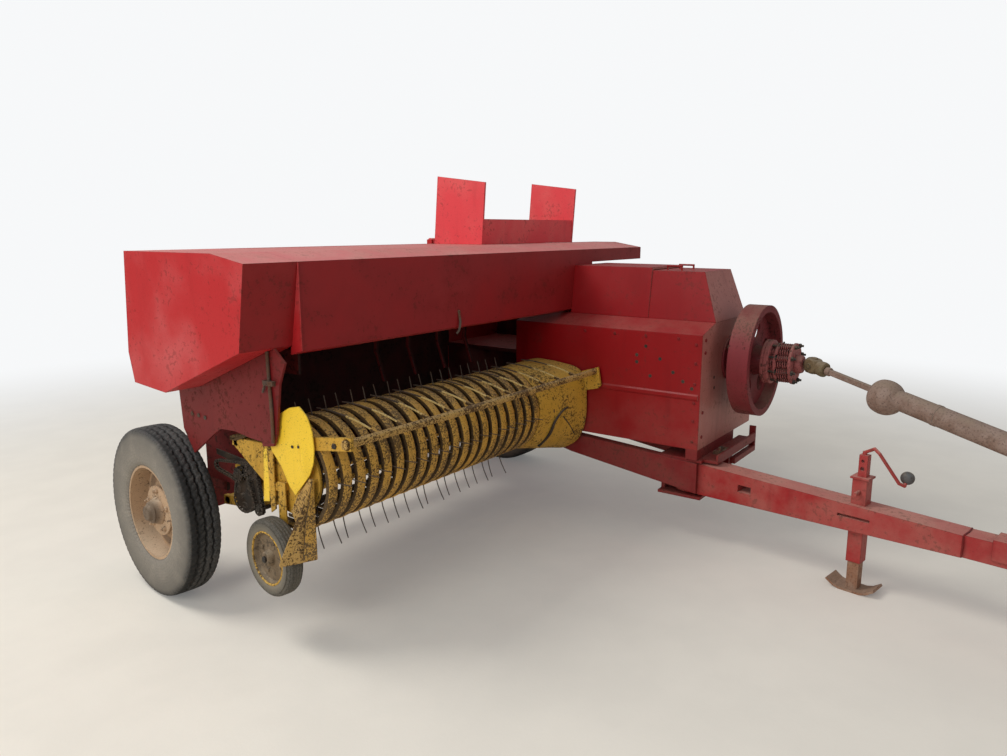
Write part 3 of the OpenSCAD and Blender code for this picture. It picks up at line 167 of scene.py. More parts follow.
class Sheet:
    """The node sheet of one material."""

    def __init__(self, name: str) -> None:
        """Args:
        name: the material's name.
        """
        self.material = bpy.data.materials.new(name)
        self.material.use_nodes = True
        self.tree = self.material.node_tree
        self.tree.nodes.clear()
        self.place = self.node("ShaderNodeTexCoord", {}, {}).outputs["Object"]

    def node(self, kind: str, settings: dict[str, Any], inputs: dict[Any, Any]) -> Any:
        """Adds a node.

        Args:
            kind: the node's type.
            settings: properties set first.
            inputs: socket name or number to a value, a socket or a Number.

        Returns:
            The node.
        """
        made = self.tree.nodes.new(kind)
        for key, value in settings.items():
            setattr(made, key, value)
        for key, value in inputs.items():
            value = value.socket if isinstance(value, Number) else value
            if isinstance(value, bpy.types.NodeSocket):
                self.tree.links.new(value, made.inputs[key])
            elif isinstance(value, tuple) and len(value) == 3 and made.inputs[key].type == "RGBA":
                made.inputs[key].default_value = (*value, 1)
            else:
                made.inputs[key].default_value = value
        return made

    def cloud(
        self, scale: float, detail: float = 4.0, rough: float = 0.55, stretch: Point | None = None
    ) -> Number:
        """Noise over the object's own coordinates.

        Args:
            scale: lumps in a metre.
            detail: octaves.
            rough: share of the finer octaves.
            stretch: scales along X, Y and Z that draw the noise out into streaks.

        Returns:
            The noise, about 0.5 on average.
        """
        where = self.place
        if stretch:
            where = self.node("ShaderNodeMapping", {}, {"Vector": where, "Scale": stretch}).outputs[0]
        made = self.node(
            "ShaderNodeTexNoise", {}, {"Vector": where, "Scale": scale, "Detail": detail, "Roughness": rough}
        )
        return Number(self, made.outputs[0])

    def blend(self, first: Any, second: Any, share: Any) -> Any:
        """Two colours mixed, the second by the given share."""
        return self.node("ShaderNodeMix", {"data_type": "RGBA"}, {0: share, 6: first, 7: second}).outputs[2]

    def off_axle(self, centre: Point) -> tuple[Any, Number]:
        """The way from a wheel's middle, and how far that is across X: the length of its Y and Z parts.

        Args:
            centre: the wheel's middle.

        Returns:
            The way as a vector socket, and the distance.
        """
        away = self.node(
            "ShaderNodeVectorMath", {"operation": "SUBTRACT"}, {0: self.place, 1: centre},
        ).outputs[0]
        flat = self.node(
            "ShaderNodeVectorMath", {"operation": "MULTIPLY"}, {0: away, 1: (0.0, 1.0, 1.0)},
        ).outputs[0]
        size = self.node("ShaderNodeVectorMath", {"operation": "LENGTH"}, {0: flat}).outputs["Value"]
        return away, Number(self, size)

    def looks(self, axis: int) -> Number:
        """1 on faces that look along an axis (0 to 2), -1 on faces that look against it."""
        normal = self.node("ShaderNodeNewGeometry", {}, {}).outputs["Normal"]
        return Number(self, self.node("ShaderNodeSeparateXYZ", {}, {0: normal}).outputs[axis])

    def height(self) -> Number:
        """Height above the ground in metres."""
        return Number(self, self.node("ShaderNodeSeparateXYZ", {}, {0: self.place}).outputs[2])

    def edges(self, width: float) -> Number:
        """1 on sharp edges within the given width, 0 on open faces.

        Args:
            width: how far from an edge, in metres.

        Returns:
            The mask.
        """
        round_normal = self.node("ShaderNodeBevel", {"samples": 4}, {"Radius": width}).outputs[0]
        normal = self.node("ShaderNodeNewGeometry", {}, {}).outputs["Normal"]
        turn = self.node("ShaderNodeVectorMath", {"operation": "DOT_PRODUCT"}, {0: round_normal, 1: normal})
        return (1 - Number(self, turn.outputs["Value"])).step(0.02, 0.2)

    def finish(
        self, colour: Any, rough: Any, metal: Any, relief: Any, depth: float, coat: float = 0.0,
        fold: float = 0.0
    ) -> bpy.types.Material:
        """Joins the sums to the surface shader.

        Args:
            colour: base colour.
            rough: roughness.
            metal: metallic share.
            relief: height field for the bump.
            depth: how deep the bump is, in metres.
            coat: clear coat over it.
            fold: radius of the rounding that sharp edges show, in metres.

        Returns:
            The material.
        """
        bump = self.node("ShaderNodeBump", {}, {"Height": relief, "Strength": 1.0, "Distance": depth})
        if fold:
            rounded = self.node("ShaderNodeBevel", {"samples": 4}, {"Radius": fold}).outputs[0]
            self.tree.links.new(rounded, bump.inputs["Normal"])
        shader = self.node(
            "ShaderNodeBsdfPrincipled",
            {},
            {
                "Base Color": colour, "Roughness": rough, "Metallic": metal, "Coat Weight": coat,
                "Specular IOR Level": SPECULAR, "Normal": bump.outputs[0],
            },
        )
        self.node("ShaderNodeOutputMaterial", {}, {0: shader.outputs[0]})
        return self.material


# ---------------------------------------------------------------- finishes


@dataclass(frozen=True)
class Paint:
    """Old paint on sheet metal or castings: paler in patches where the sun took it, and paler on top from sun
    and painted highlight; chipped, rusty and dusty. Some coats add painted light and shade by the way faces
    look.
    """

    slot: str
    colour: Colour
    # paler colour: the paint paled by sun, and on faces that look up also painted highlight
    pale_and_highlight: Colour
    rust: Colour = srgb(96, 52, 34)
    dust: Colour = srgb(176, 160, 138)
    # share of paling in clouds; on faces that look up it also sets the painted highlight
    bleach_and_highlight: float = 0.5
    rust_share: float = 0.3
    dust_share: float = 0.35
    edge_wear: float = 0.6
    rough: float = 0.42
    streaks: float = 0.3
    chip_at: float = 0.60
    chip_soft: float = 0.025
    grain: float = 52.0
    # colour that faces looking to the front (-Y) take: painted shade where it is darker than the paint,
    # painted light where it is paler
    front: Colour | None = None
    # colour that faces looking to -X take: painted shade
    right: Colour | None = None
    # share of painted shade on faces that look along X, the walls in the gaps between the bands
    wall_shade: float = 0.0
    fold: float = 5 * MM
    # middle of the wheels whose rims take painted shade in the dish and a darker hub middle
    hub: Point | None = None

    def make(self, name: str) -> bpy.types.Material:
        """Paint colour paler in clouds where the sun took it and on top, where it is also painted highlight;
        painted light and shade on faces by the way they look, in the rim's dish and on walls that look along
        X; rust where two noises agree, dust low and on ledges.

        Args:
            name: the material's name.

        Returns:
            The material.
        """
        s = Sheet(name)
        broad = s.cloud(1.7, 3)
        patches = s.cloud(7, 4, 0.6)
        fine = s.cloud(self.grain, 9, 0.7)
        specks = s.cloud(240, 3, 0.6)
        runs = s.cloud(16, 4, 0.6, (1.0, 1.0, 0.12))
        up = s.looks(2)
        clouds = (broad * 0.7 + patches * 0.3).step(0.42, 0.68) * self.bleach_and_highlight * 0.5
        # faces that look up go paler: partly sun, partly painted highlight
        paler_and_top_highlight = (clouds + up.step(0.35, 0.95) * self.bleach_and_highlight * 1.3).held()
        colour = s.blend(self.colour, self.pale_and_highlight, paler_and_top_highlight)
        # painted light and shade: faces that look to the front blend towards the front colour
        if self.front:
            ahead = (0 - s.looks(1)).step(0.6, 0.9)
            colour = s.blend(colour, self.front, (ahead * (0.55 + patches * 0.7)).held())
        # painted shade: faces that look to -X blend towards the right colour
        if self.right:
            aside = (0 - s.looks(0)).step(0.7, 0.9)
            colour = s.blend(colour, self.right, (aside * (0.7 + patches * 0.5)).held())
        shade = (runs.step(0.52, 0.78) * self.streaks).held()
        colour = s.blend(colour, tuple(c * 0.45 for c in self.colour), shade)
        chips = (fine + patches * 0.5 - 0.25).step(self.chip_at, self.chip_at + self.chip_soft)
        edge = (s.edges(4 * MM) * fine.step(0.36, 0.56)).held()
        spots = specks.step(0.60, 0.65) * self.rust_share * 0.7
        rusty = (chips * self.rust_share + spots + edge * self.edge_wear).held()
        rust = s.blend(self.rust, tuple(c * 0.35 for c in self.rust), fine.step(0.35, 0.65))
        colour = s.blend(colour, rust, rusty)
        # painted shade in the rim's dish, and a darker hub middle
        if self.hub:
            radius = s.off_axle(self.hub)[1]
            painted_well_shade = radius.step(*WELL_SHADE_START) * (1 - radius.step(*WELL_SHADE_END)) * 0.6
            dark = painted_well_shade + (1 - radius.step(*HUB_EDGE)) * 0.85
            colour = s.blend(colour, srgb(58, 44, 36), dark.held())
        # painted shade: faces that look along X, the band walls in the gaps, go darker
        if self.wall_shade:
            across = s.looks(0)
            painted_wall_shade = ((across * across).step(0.25, 0.7) * self.wall_shade).held()
            colour = s.blend(colour, tuple(c * 0.5 for c in self.rust), painted_wall_shade)
        low = 1 - s.height().step(0.15, 0.9)
        dusty = ((up.step(0.2, 0.9) * 0.55 + low * 0.6) * patches.step(0.3, 0.62) * self.dust_share).held()
        colour = s.blend(colour, self.dust, dusty)
        rough = (self.rough + paler_and_top_highlight * 0.18 + rusty * 0.4 + dusty * 0.35 + fine * 0.1).held()
        relief = broad * 0.9 + fine * 0.05 - rusty * 0.05 + specks * 0.015
        return s.finish(colour, rough, 0.0, relief, 4 * MM, 0.03, self.fold)


@dataclass(frozen=True)
class Iron:
    """Bare or once painted iron, brown with rust and dark with grease, rubbed bright here and there."""

    slot: str
    colour: Colour
    rust: Colour
    bright: Colour = srgb(150, 140, 128)
    rub: float = 0.25
    grease: float = 0.3
    rough: float = 0.62

    def make(self, name: str) -> bpy.types.Material:
        """Iron colour mixed with rust in patches, rubbed along edges, greased in clouds.

        Args:
            name: the material's name.

        Returns:
            The material.
        """
        s = Sheet(name)
        patches = s.cloud(14, 5, 0.62)
        fine = s.cloud(120, 4, 0.65)
        pits = s.cloud(320, 2)
        colour = s.blend(self.colour, self.rust, patches.step(0.38, 0.62))
        colour = s.blend(colour, tuple(c * 0.4 for c in self.rust), (fine.step(0.5, 0.68) * 0.7).held())
        rubbed = (
            s.edges(3 * MM) * fine.step(0.3, 0.6) * self.rub * 2 + patches.step(0.62, 0.7) * self.rub
        ).held()
        colour = s.blend(colour, self.bright, rubbed)
        black = (s.cloud(7, 4, 0.6).step(0.45, 0.6) * self.grease).held()
        colour = s.blend(colour, srgb(24, 21, 19), black)
        dusty = (s.looks(2).step(0.3, 0.95) * patches.step(0.35, 0.6) * 0.4).held()
        colour = s.blend(colour, srgb(165, 150, 130), dusty)
        rough = (self.rough + fine * 0.25 - rubbed * 0.3 - black * 0.25).held()
        return s.finish(colour, rough, rubbed * 0.6, patches * 0.4 + fine * 0.25 + pits * 0.12, 1.4 * MM)


@dataclass(frozen=True)
class Rubber:
    """Weathered tyre rubber, dusty in its grooves and paler on its side walls."""

    slot: str
    colour: Colour
    dust: Colour
    middle: Point
    tread_radius: float
    dust_share: float = 0.5
    axis: Point = (1.0, 0.0, 0.0)
    # half width of the tread whose grooves take painted shade
    half_tread: float = 0.0

    def make(self, name: str) -> bpy.types.Material:
        """Dark rubber with dust that grows below the tread's radius, fine checks and scuffs, and painted
        shade in the tread's grooves.

        Args:
            name: the material's name.

        Returns:
            The material.
        """
        s = Sheet(name)
        away, radius = s.off_axle(self.middle)
        edge = self.tread_radius
        patches = s.cloud(11, 5, 0.6)
        fine = s.cloud(160, 4, 0.6)
        wall = (
            1 - radius.step(edge * 0.62, edge * 0.97) * 0.45
        ) * (1 - radius.step(edge - 0.04, edge - 0.006))
        dusty = ((wall * 1.1 + patches.step(0.45, 0.7) * 0.22) * (0.25 + fine * 1.2) * self.dust_share).held()
        colour = s.blend(self.colour, tuple(c * 0.55 for c in self.colour), fine.step(0.42, 0.62))
        colour = s.blend(colour, self.dust, dusty)
        # painted shade in the grooves: below the tread's face, near the middle, the rubber goes much darker
        if self.half_tread:
            dot = s.node("ShaderNodeVectorMath", {"operation": "DOT_PRODUCT"}, {0: away, 1: self.axis})
            aside = s.node("ShaderNodeMath", {"operation": "ABSOLUTE"}, {0: dot.outputs["Value"]}).outputs[0]
            middle = 1 - Number(s, aside).step(self.half_tread - 0.004, self.half_tread + 0.004)
            groove_shade = 1 - radius.step(edge - 0.006, edge - 0.0015)
            colour = s.blend(colour, tuple(c * 0.2 for c in self.colour), (middle * groove_shade * 0.85).held())
        rings = s.node("ShaderNodeMath", {"operation": "SINE"}, {0: radius * 520}).outputs[0]
        relief = fine * 0.4 + Number(s, rings) * 0.16 * wall + patches * 0.3
        return s.finish(colour, (0.72 + fine * 0.2).held(), 0.0, relief, 1.2 * MM)


class Coat(Enum):
    """The finishes of the baler by use; each value is its material's name."""

    RED = "red_paint"
    SIDE_RED = "side_red"
    SHADE_RED = "shade_red"
    PANEL_SHADE_RED = "panel_shade_red"
    CASE_RED = "case_red"
    KNOTTER_LIT_RED = "knotter_lit_red"
    DARK_INSIDE = "dark_inside"
    FRAME_RED = "frame_red"
    TONGUE_RED = "tongue_red"
    MAROON = "flywheel_maroon"
    CLUTCH = "clutch_maroon"
    YELLOW = "band_yellow"
    DRUM_YELLOW = "drum_yellow"
    BRIGHT_YELLOW = "shield_yellow"
    PIPE = "guard_brown"
    ROD = "rod_straw"
    DISC = "gauge_disc_brown"
    TAN = "rim_tan"
    TYRE_RIGHT = "tyre_right_rubber"
    TYRE_LEFT = "tyre_left_rubber"
    GAUGE_TYRE = "gauge_rubber"
    IRON = "rusty_iron"
    GREASY = "greasy_iron"
    SPRING = "spring_wire"
    JOINT = "joint_olive"
    SHAFT = "driveline_brown"
    FOOT = "foot_rust"
    KNOB = "grey_ball"


FINISHES: dict[Coat, Paint | Iron | Rubber] = {
    Coat.RED: Paint("red_paint", srgb(168, 24, 30), srgb(200, 110, 106), bleach_and_highlight=0.45, rust_share=0.4),
    # the bale case: its faces that look to -X take a near black red, painted shade
    Coat.CASE_RED: Paint(
        "red_paint", srgb(160, 24, 28), srgb(190, 100, 96), bleach_and_highlight=0.45, rust_share=0.5,
        right=srgb(56, 22, 20)
    ),
    # a much paler copy of the red for the knotter cover: painted light on its sunlit plates
    Coat.KNOTTER_LIT_RED: Paint(
        "red_paint", srgb(226, 72, 78), srgb(226, 150, 138), bleach_and_highlight=0.7, rust_share=0.3, streaks=0.2
    ),
    # the feeder and its end cap: faces that look to the front take a darker red, painted shade
    Coat.SIDE_RED: Paint(
        "red_paint", srgb(184, 34, 38), srgb(228, 152, 150), bleach_and_highlight=0.42, rust_share=0.3, streaks=0.2,
        front=srgb(138, 26, 28),
    ),
    Coat.SHADE_RED: Paint(
        "red_paint", srgb(116, 24, 26), srgb(150, 64, 60), bleach_and_highlight=0.3, rust_share=0.5, chip_at=0.57,
        dust_share=0.15,
    ),
    # a darker copy of the red for the front housing and crank covers: painted shade under the feeder's
    # overhang; faces that look to the front take a paler red, painted light
    Coat.PANEL_SHADE_RED: Paint(
        "red_paint", srgb(142, 6, 13), srgb(182, 84, 82), bleach_and_highlight=0.22, rust_share=0.3, rough=0.38,
        front=srgb(184, 116, 106), dust_share=0.15,
    ),
    # the feeder's inside: a dark rusty red, partly worn steel and partly painted shade; faces that look to
    # the front go near black, painted shade
    Coat.DARK_INSIDE: Paint(
        "dark_red", srgb(112, 28, 28), srgb(126, 58, 52), bleach_and_highlight=0.2, rust=srgb(50, 36, 28), rust_share=0.6,
        rough=0.75, chip_at=0.57, dust_share=0.15, front=srgb(40, 20, 18),
    ),
    Coat.FRAME_RED: Paint(
        "dark_red", srgb(124, 20, 24), srgb(150, 66, 62), bleach_and_highlight=0.2, rust_share=0.45, edge_wear=0.6,
        chip_at=0.59, dust_share=0.12,
    ),
    Coat.TONGUE_RED: Paint(
        "dark_red", srgb(160, 22, 28), srgb(212, 146, 134), bleach_and_highlight=0.42, rust_share=0.4, edge_wear=0.9,
        chip_at=0.59, dust_share=0.2,
    ),
    # faces that look to the front take a near copy of the maroon: painted light, hardly paler
    Coat.MAROON: Paint(
        "maroon", srgb(122, 36, 42), srgb(128, 74, 68), rust=srgb(70, 46, 40), rust_share=0.6,
        edge_wear=0.7, rough=0.55, chip_at=0.57, chip_soft=0.06, grain=90.0, front=srgb(124, 36, 42),
    ),
    # faces that look to the front take a paler maroon: painted light
    Coat.CLUTCH: Paint(
        "maroon", srgb(150, 78, 76), srgb(150, 104, 96), rust=srgb(84, 56, 48), rust_share=0.6,
        edge_wear=0.6, rough=0.55, chip_at=0.56, front=srgb(168, 94, 92),
    ),
    # yellow of the bands, sleeves and shoe face; its faces that look along X take painted shade
    Coat.YELLOW: Paint(
        "yellow", srgb(206, 156, 62), srgb(206, 166, 92), rust=srgb(96, 72, 42), rust_share=0.9,
        dust_share=0.3, edge_wear=0.8, rough=0.55, streaks=0.6, chip_at=0.49, chip_soft=0.07, grain=140.0,
        wall_shade=0.95,
    ),
    Coat.DRUM_YELLOW: Paint(
        "yellow", srgb(206, 158, 56), srgb(220, 182, 92), rust=srgb(96, 70, 40), rust_share=0.8,
        dust_share=0.1, edge_wear=0.8, rough=0.5, streaks=0.5, chip_at=0.54, chip_soft=0.05, grain=90.0,
    ),
    Coat.BRIGHT_YELLOW: Paint(
        "bright_yellow", srgb(255, 212, 58), srgb(255, 226, 120), rust=srgb(140, 98, 48),
        rust_share=0.5, dust_share=0.1, edge_wear=0.5, rough=0.4, streaks=0.15, chip_at=0.61, grain=80.0,
    ),
    Coat.PIPE: Paint(
        "yellow", srgb(192, 152, 82), srgb(200, 168, 112), rust=srgb(92, 62, 38), rust_share=0.9,
        dust_share=0.2, edge_wear=0.5, rough=0.6, streaks=0.4, chip_at=0.49, chip_soft=0.06, grain=110.0,
    ),
    Coat.ROD: Paint(
        "yellow", srgb(214, 184, 112), srgb(220, 196, 140), rust=srgb(120, 88, 50), rust_share=0.6,
        dust_share=0.2, edge_wear=0.3, rough=0.6, streaks=0.3, chip_at=0.56, grain=110.0,
    ),
    # rims: painted shade in the dish and a darker hub middle, about the wheels' middle
    Coat.TAN: Paint(
        "rim_tan", srgb(188, 156, 124), srgb(200, 178, 152), rust=srgb(112, 78, 54), rust_share=0.75,
        rough=0.6, edge_wear=0.4, chip_at=0.56, chip_soft=0.08, grain=60.0, hub=(0.0, 0.868, 0.36),
    ),
    Coat.DISC: Paint(
        "rim_tan", srgb(110, 90, 66), srgb(128, 112, 88), rust=srgb(66, 50, 38), rust_share=0.7,
        rough=0.65, edge_wear=0.4, chip_at=0.55,
    ),
    Coat.TYRE_RIGHT: Rubber(
        "tyre", srgb(76, 75, 74), srgb(152, 144, 132), (-1.3, 0.868, 0.36), 0.36, 0.72,
        (math.cos(math.radians(6)), -math.sin(math.radians(6)), 0.0), 0.060,
    ),
    Coat.TYRE_LEFT: Rubber(
        "tyre", srgb(76, 75, 74), srgb(152, 144, 132), (1.18, 0.868, 0.36), 0.36, 0.72,
        half_tread=0.090,
    ),
    Coat.GAUGE_TYRE: Rubber(
        "tyre", srgb(96, 92, 84), srgb(146, 136, 118), (-1.316, 0.122, 0.345), 0.146, 0.6
    ),
    Coat.IRON: Iron("steel", srgb(84, 74, 66), srgb(112, 76, 54)),
    Coat.GREASY: Iron("steel", srgb(48, 43, 38), srgb(70, 56, 44), grease=0.7, rough=0.5),
    Coat.SPRING: Iron("steel", srgb(70, 60, 50), srgb(84, 62, 46), rub=0.3, grease=0.3, rough=0.55),
    Coat.JOINT: Iron("steel", srgb(122, 110, 84), srgb(112, 92, 66), bright=srgb(164, 152, 128), grease=0.25),
    Coat.SHAFT: Iron(
        "steel", srgb(152, 130, 118), srgb(140, 114, 100), bright=srgb(190, 180, 168), rub=0.35, grease=0.12
    ),
    Coat.FOOT: Iron("steel", srgb(164, 134, 114), srgb(150, 108, 84), rub=0.3, grease=0.05, rough=0.7),
    Coat.KNOB: Iron("steel", srgb(96, 98, 100), srgb(92, 88, 84), rub=0.4, grease=0.1, rough=0.45),
}


# ---------------------------------------------------------------- surfaces


@dataclass
class Shell:
    """A surface as points and rows of face corners."""

    points: Array
    faces: list[Array]

    def moved(self, turn: Array, origin: Sequence[float]) -> "Shell":
        """The surface turned by a matrix, then moved."""
        return Shell(self.points @ turn.T + np.asarray(origin, float), self.faces)

    def at(self, *origin: float) -> "Shell":
        """The surface moved without a turn."""
        return self.moved(STILL, origin)

    def about_x(self, degrees: float) -> "Shell":
        """The surface turned about the X axis."""
        return self.moved(turn((1, 0, 0), degrees), (0, 0, 0))


def joined(shells: Iterable[Shell]) -> Shell:
    """Several surfaces as one.

    Args:
        shells: the surfaces.

    Returns:
        One surface with all their points and faces.
    """
    shells = list(shells)
    starts = np.cumsum([0] + [len(s.points) for s in shells])
    faces = [rows + start for s, start in zip(shells, starts) for rows in s.faces]
    return Shell(np.vstack([s.points for s in shells]), faces)


def placed(shells: Iterable[Shell], basis: Array, at: Sequence[float]) -> list[Shell]:
    """Surfaces turned by one matrix and moved to one place."""
    return [shell.moved(basis, at) for shell in shells]


def along_x(spots: Array, y: float, z: float) -> Array:
    """Points at several places along X and one Y and Z."""
    return np.stack([spots, 0 * spots + y, 0 * spots + z], -1)


def repeated(shell: Shell, turns: Array, origins: Array) -> Shell:
    """Copies of a surface: each point is turned by its copy's matrix and moved to its copy's place.

    Args:
        shell: the surface that is copied.
        turns: (copies, 3, 3) matrices, or one (3, 3) matrix for all.
        origins: (copies, 3) places.

    Returns:
        All copies as one surface.
    """
    count, size = len(origins), len(shell.points)
    turns = np.broadcast_to(turns, (count, 3, 3))
    points = np.einsum("kij,nj->kni", turns, shell.points) + np.asarray(origins)[:, None, :]
    offset = np.arange(count)[:, None, None] * size
    return Shell(
        points.reshape(-1, 3), [(rows[None] + offset).reshape(-1, rows.shape[1]) for rows in shell.faces],
    )


def turn(axis: Sequence[float], degrees: Any) -> Array:
    """Turning matrix about an axis: the axis part stays, the rest goes round by cosine and sine.

    Args:
        axis: the axis.
        degrees: one angle or an array of angles.

    Returns:
        A (3, 3) matrix, or one for each angle.
    """
    x, y, z = np.asarray(axis, float) / np.linalg.norm(axis)
    cross = np.array([[0, -z, y], [z, 0, -x], [-y, x, 0]])
    angle = np.radians(np.asarray(degrees, float))[..., None, None]
    return np.eye(3) + np.sin(angle) * cross + (1 - np.cos(angle)) * (cross @ cross)


def lattice(grid: Array, round_rows: bool = False, round_columns: bool = False, ends: bool = False) -> Shell:
    """A surface over a grid of points.

    Args:
        grid: (rows, columns, 3) points.
        round_rows: the last row meets the first.
        round_columns: the last column meets the first.
        ends: the first and last rows are closed with a face each.

    Returns:
        The surface.
    """
    rows, columns = grid.shape[:2]
    number = np.arange(rows * columns).reshape(rows, columns)
    wide = np.vstack([number, number[:1]]) if round_rows else number
    wide = np.hstack([wide, wide[:, :1]]) if round_columns else wide
    quads = np.stack([wide[:-1, :-1], wide[1:, :-1], wide[1:, 1:], wide[:-1, 1:]], -1).reshape(-1, 4)
    faces = [quads] + ([number[:1], number[-1:, ::-1]] if ends else [])
    return Shell(grid.reshape(-1, 3), faces)


def swept(path: Array, section: Array, up: Sequence[float]) -> Shell:
    """A closed section carried along a path: each point is the path's point plus the section's two
    parts along the path's side and lift directions.

    Args:
        path: (stations, 3) points.
        section: (points, 2), or (stations, points, 2) where it changes along the path.
        up: a direction that is never along the path.

    Returns:
        The surface, with closed ends.
    """
    path = np.asarray(path, float)
    ahead = np.gradient(path, axis=0)
    ahead /= np.linalg.norm(ahead, axis=1, keepdims=True)
    side = np.cross(np.asarray(up, float), ahead)
    side /= np.linalg.norm(side, axis=1, keepdims=True)
    lift = np.cross(ahead, side)
    section = np.broadcast_to(section, (len(path), *np.shape(section)[-2:]))
    grid = path[:, None] + section[..., :1] * side[:, None] + section[..., 1:] * lift[:, None]
    return lattice(grid, False, True, True)


def circle(radius: Any, sides: int) -> Array:
    """A circle's points: radius times cosine and sine. An array of radii gives a circle each."""
    angle = np.arange(sides) * TAU / sides
    return np.asarray(radius, float)[..., None, None] * np.stack([np.cos(angle), np.sin(angle)], -1)


def tube(path: Any, radius: Any, sides: int, up: Sequence[float] = (0, 0, 1)) -> Shell:
    """A round bar along a path, of one radius or a radius at each station."""
    return swept(path, circle(radius, sides), up)


def bar(start: Sequence[float], end: Sequence[float], radius: float, sides: int) -> Shell:
    """A straight round bar whose ends are chamfered: radii shrink over the last stretch.

    Args:
        start: one end.
        end: the other end.
        radius: its radius.
        sides: points round it.

    Returns:
        The closed bar.
    """
    start, end = np.asarray(start, float), np.asarray(end, float)
    length = float(np.linalg.norm(end - start))
    cut = min(radius * 0.15, length / 4)
    stations = np.array([0, cut, length - cut, length]) / length
    radii = np.array([radius - cut, radius, radius, radius - cut]).clip(radius * 0.3)
    up = (0, 0, 1) if abs((end - start)[2]) < 0.9 * length else (0, 1, 0)
    return tube(start + stations[:, None] * (end - start), radii, sides, up)


def smooth_path(points: Any, count: int) -> Array:
    """A smooth line through points: Hermite cubics whose slopes are half the step between neighbours.

    Args:
        points: the points that it passes through.
        count: stations.

    Returns:
        (count, n) points.
    """
    p = np.asarray(points, float)
    slope = np.gradient(p, axis=0)
    t = np.linspace(0, len(p) - 1, count)
    i = np.minimum(t.astype(int), len(p) - 2)
    s = (t - i)[:, None]
    a, b, ma, mb = p[i], p[i + 1], slope[i], slope[i + 1]
    leaving = (2 * s**3 - 3 * s**2 + 1) * a + (s**3 - 2 * s**2 + s) * ma
    return leaving + (3 * s**2 - 2 * s**3) * b + (s**3 - s**2) * mb


def even_path(points: Any, count: int) -> Array:
    """A line walked in even steps of its own length.

    Args:
        points: the line's points.
        count: stations.

    Returns:
        (count, n) points.
    """
    p = np.asarray(points, float)
    along = np.concatenate([[0], np.cumsum(np.linalg.norm(np.diff(p, axis=0), axis=1))])
    steps = np.linspace(0, along[-1], count)
    return np.stack([np.interp(steps, along, p[:, k]) for k in range(p.shape[1])], -1)


def turned(profile: Any, sides: int = 48, closed: bool = True) -> Shell:
    """A profile of (place along X, radius) turned about X: Y and Z are the radius times cosine and sine.

    Args:
        profile: (n, 2) places and radii.
        sides: points round it.
        closed: the profile's last point meets its first.

    Returns:
        The surface.
    """
    p = np.asarray(profile, float)
    angle = np.arange(sides) * TAU / sides
    ring = np.stack([np.ones(sides), np.cos(angle), np.sin(angle)], -1)
    grid = np.stack([p[:, 0], p[:, 1], p[:, 1]], -1)[:, None] * ring[None]
    return lattice(grid, closed, True)


def plate(outline: Any, low: float, high: float, axis: int = 0) -> Shell:
    """A flat outline carried straight from low to high along an axis; it holds the other two in order.

    Args:
        outline: (n, 2) outline.
        low: one face.
        high: the other face.
        axis: the axis through it.

    Returns:
        The closed plate.
    """
    p = np.asarray(outline, float)
    rest = [k for k in range(3) if k != axis]
    grid = np.zeros((2, len(p), 3))
    grid[..., rest] = p
    grid[0, :, axis], grid[1, :, axis] = low, high
    return lattice(grid, False, True, True)


def holed(outline: Any, hole: Sequence[float], low: float, high: float, count: int) -> Shell:
    """A plate across X with a round hole: rings at the outline and the hole, on both faces, joined round.

    Args:
        outline: (n, 2) outline.
        hole: centre and radius.
        low: one face.
        high: the other face.
        count: points in each ring.

    Returns:
        The closed plate.
    """
    centre, radius = np.asarray(hole[:2], float), hole[2]
    p = np.asarray(outline, float)
    rim = even_path(np.vstack([p, p[:1]]), count + 1)[:-1]
    away = rim - centre
    angle = np.arctan2(away[:, 1], away[:, 0])
    ring = centre + radius * np.stack([np.cos(angle), np.sin(angle)], -1)
    rows = [(rim, low), (rim, high), (ring, high), (ring, low)]
    grid = np.stack([np.hstack([np.full((count, 1), place), flat]) for flat, place in rows])
    return lattice(grid, True, True)


def box_shell(low: Sequence[float], high: Sequence[float]) -> Shell:
    """A box between two corners."""
    (x0, y0, z0), (x1, y1, z1) = low, high
    return plate([(y0, z0), (y1, z0), (y1, z1), (y0, z1)], x0, x1)


def sheet_shell(outer: Array, inner: Array) -> Shell:
    """A bent sheet: two grids of the same size, closed along their rims.

    Args:
        outer: one side's grid.
        inner: the other side's grid.

    Returns:
        The closed sheet.
    """
    rim_out = np.concatenate([outer[0, :-1], outer[:-1, -1], outer[-1, :0:-1], outer[:0:-1, 0]])
    rim_in = np.concatenate([inner[0, :-1], inner[:-1, -1], inner[-1, :0:-1], inner[:0:-1, 0]])
    return joined(
        [lattice(outer), lattice(inner[:, ::-1]), lattice(np.stack([rim_out, rim_in]), False, True)]
    )


def hoop(start: float, end: float, inner: float, outer: float) -> list[tuple[float, float]]:
    """The profile of a plain ring between two places along X."""
    return [(start, inner), (start, outer), (end, outer), (end, inner)]


def coil(radius: float, wire: float, length: float, rounds: int, sides: int, per_round: int) -> Shell:
    """A coil spring about X: the path goes round by cosine and sine while it moves along.

    Args:
        radius: from the axis to the wire's middle.
        wire: the wire's radius.
        length: along X.
        rounds: turns of the wire.
        sides: points round the wire.
        per_round: stations in a turn.

    Returns:
        The spring.
    """
    t = np.linspace(0, 1, int(rounds * per_round) + 1)
    angle = t * rounds * TAU
    path = np.stack([t * length, radius * np.cos(angle), radius * np.sin(angle)], -1)
    return swept(path, circle(wire, sides), (1, 0, 0))


def hex_head(size: float, high: float) -> Shell:
    """A hexagonal bolt head that stands on X = 0 towards +X, its upper edge drawn in a little."""
    return turned([(0, 0), (0, size), (high * 0.75, size), (high, size * 0.86), (high, 0)], 6, False)


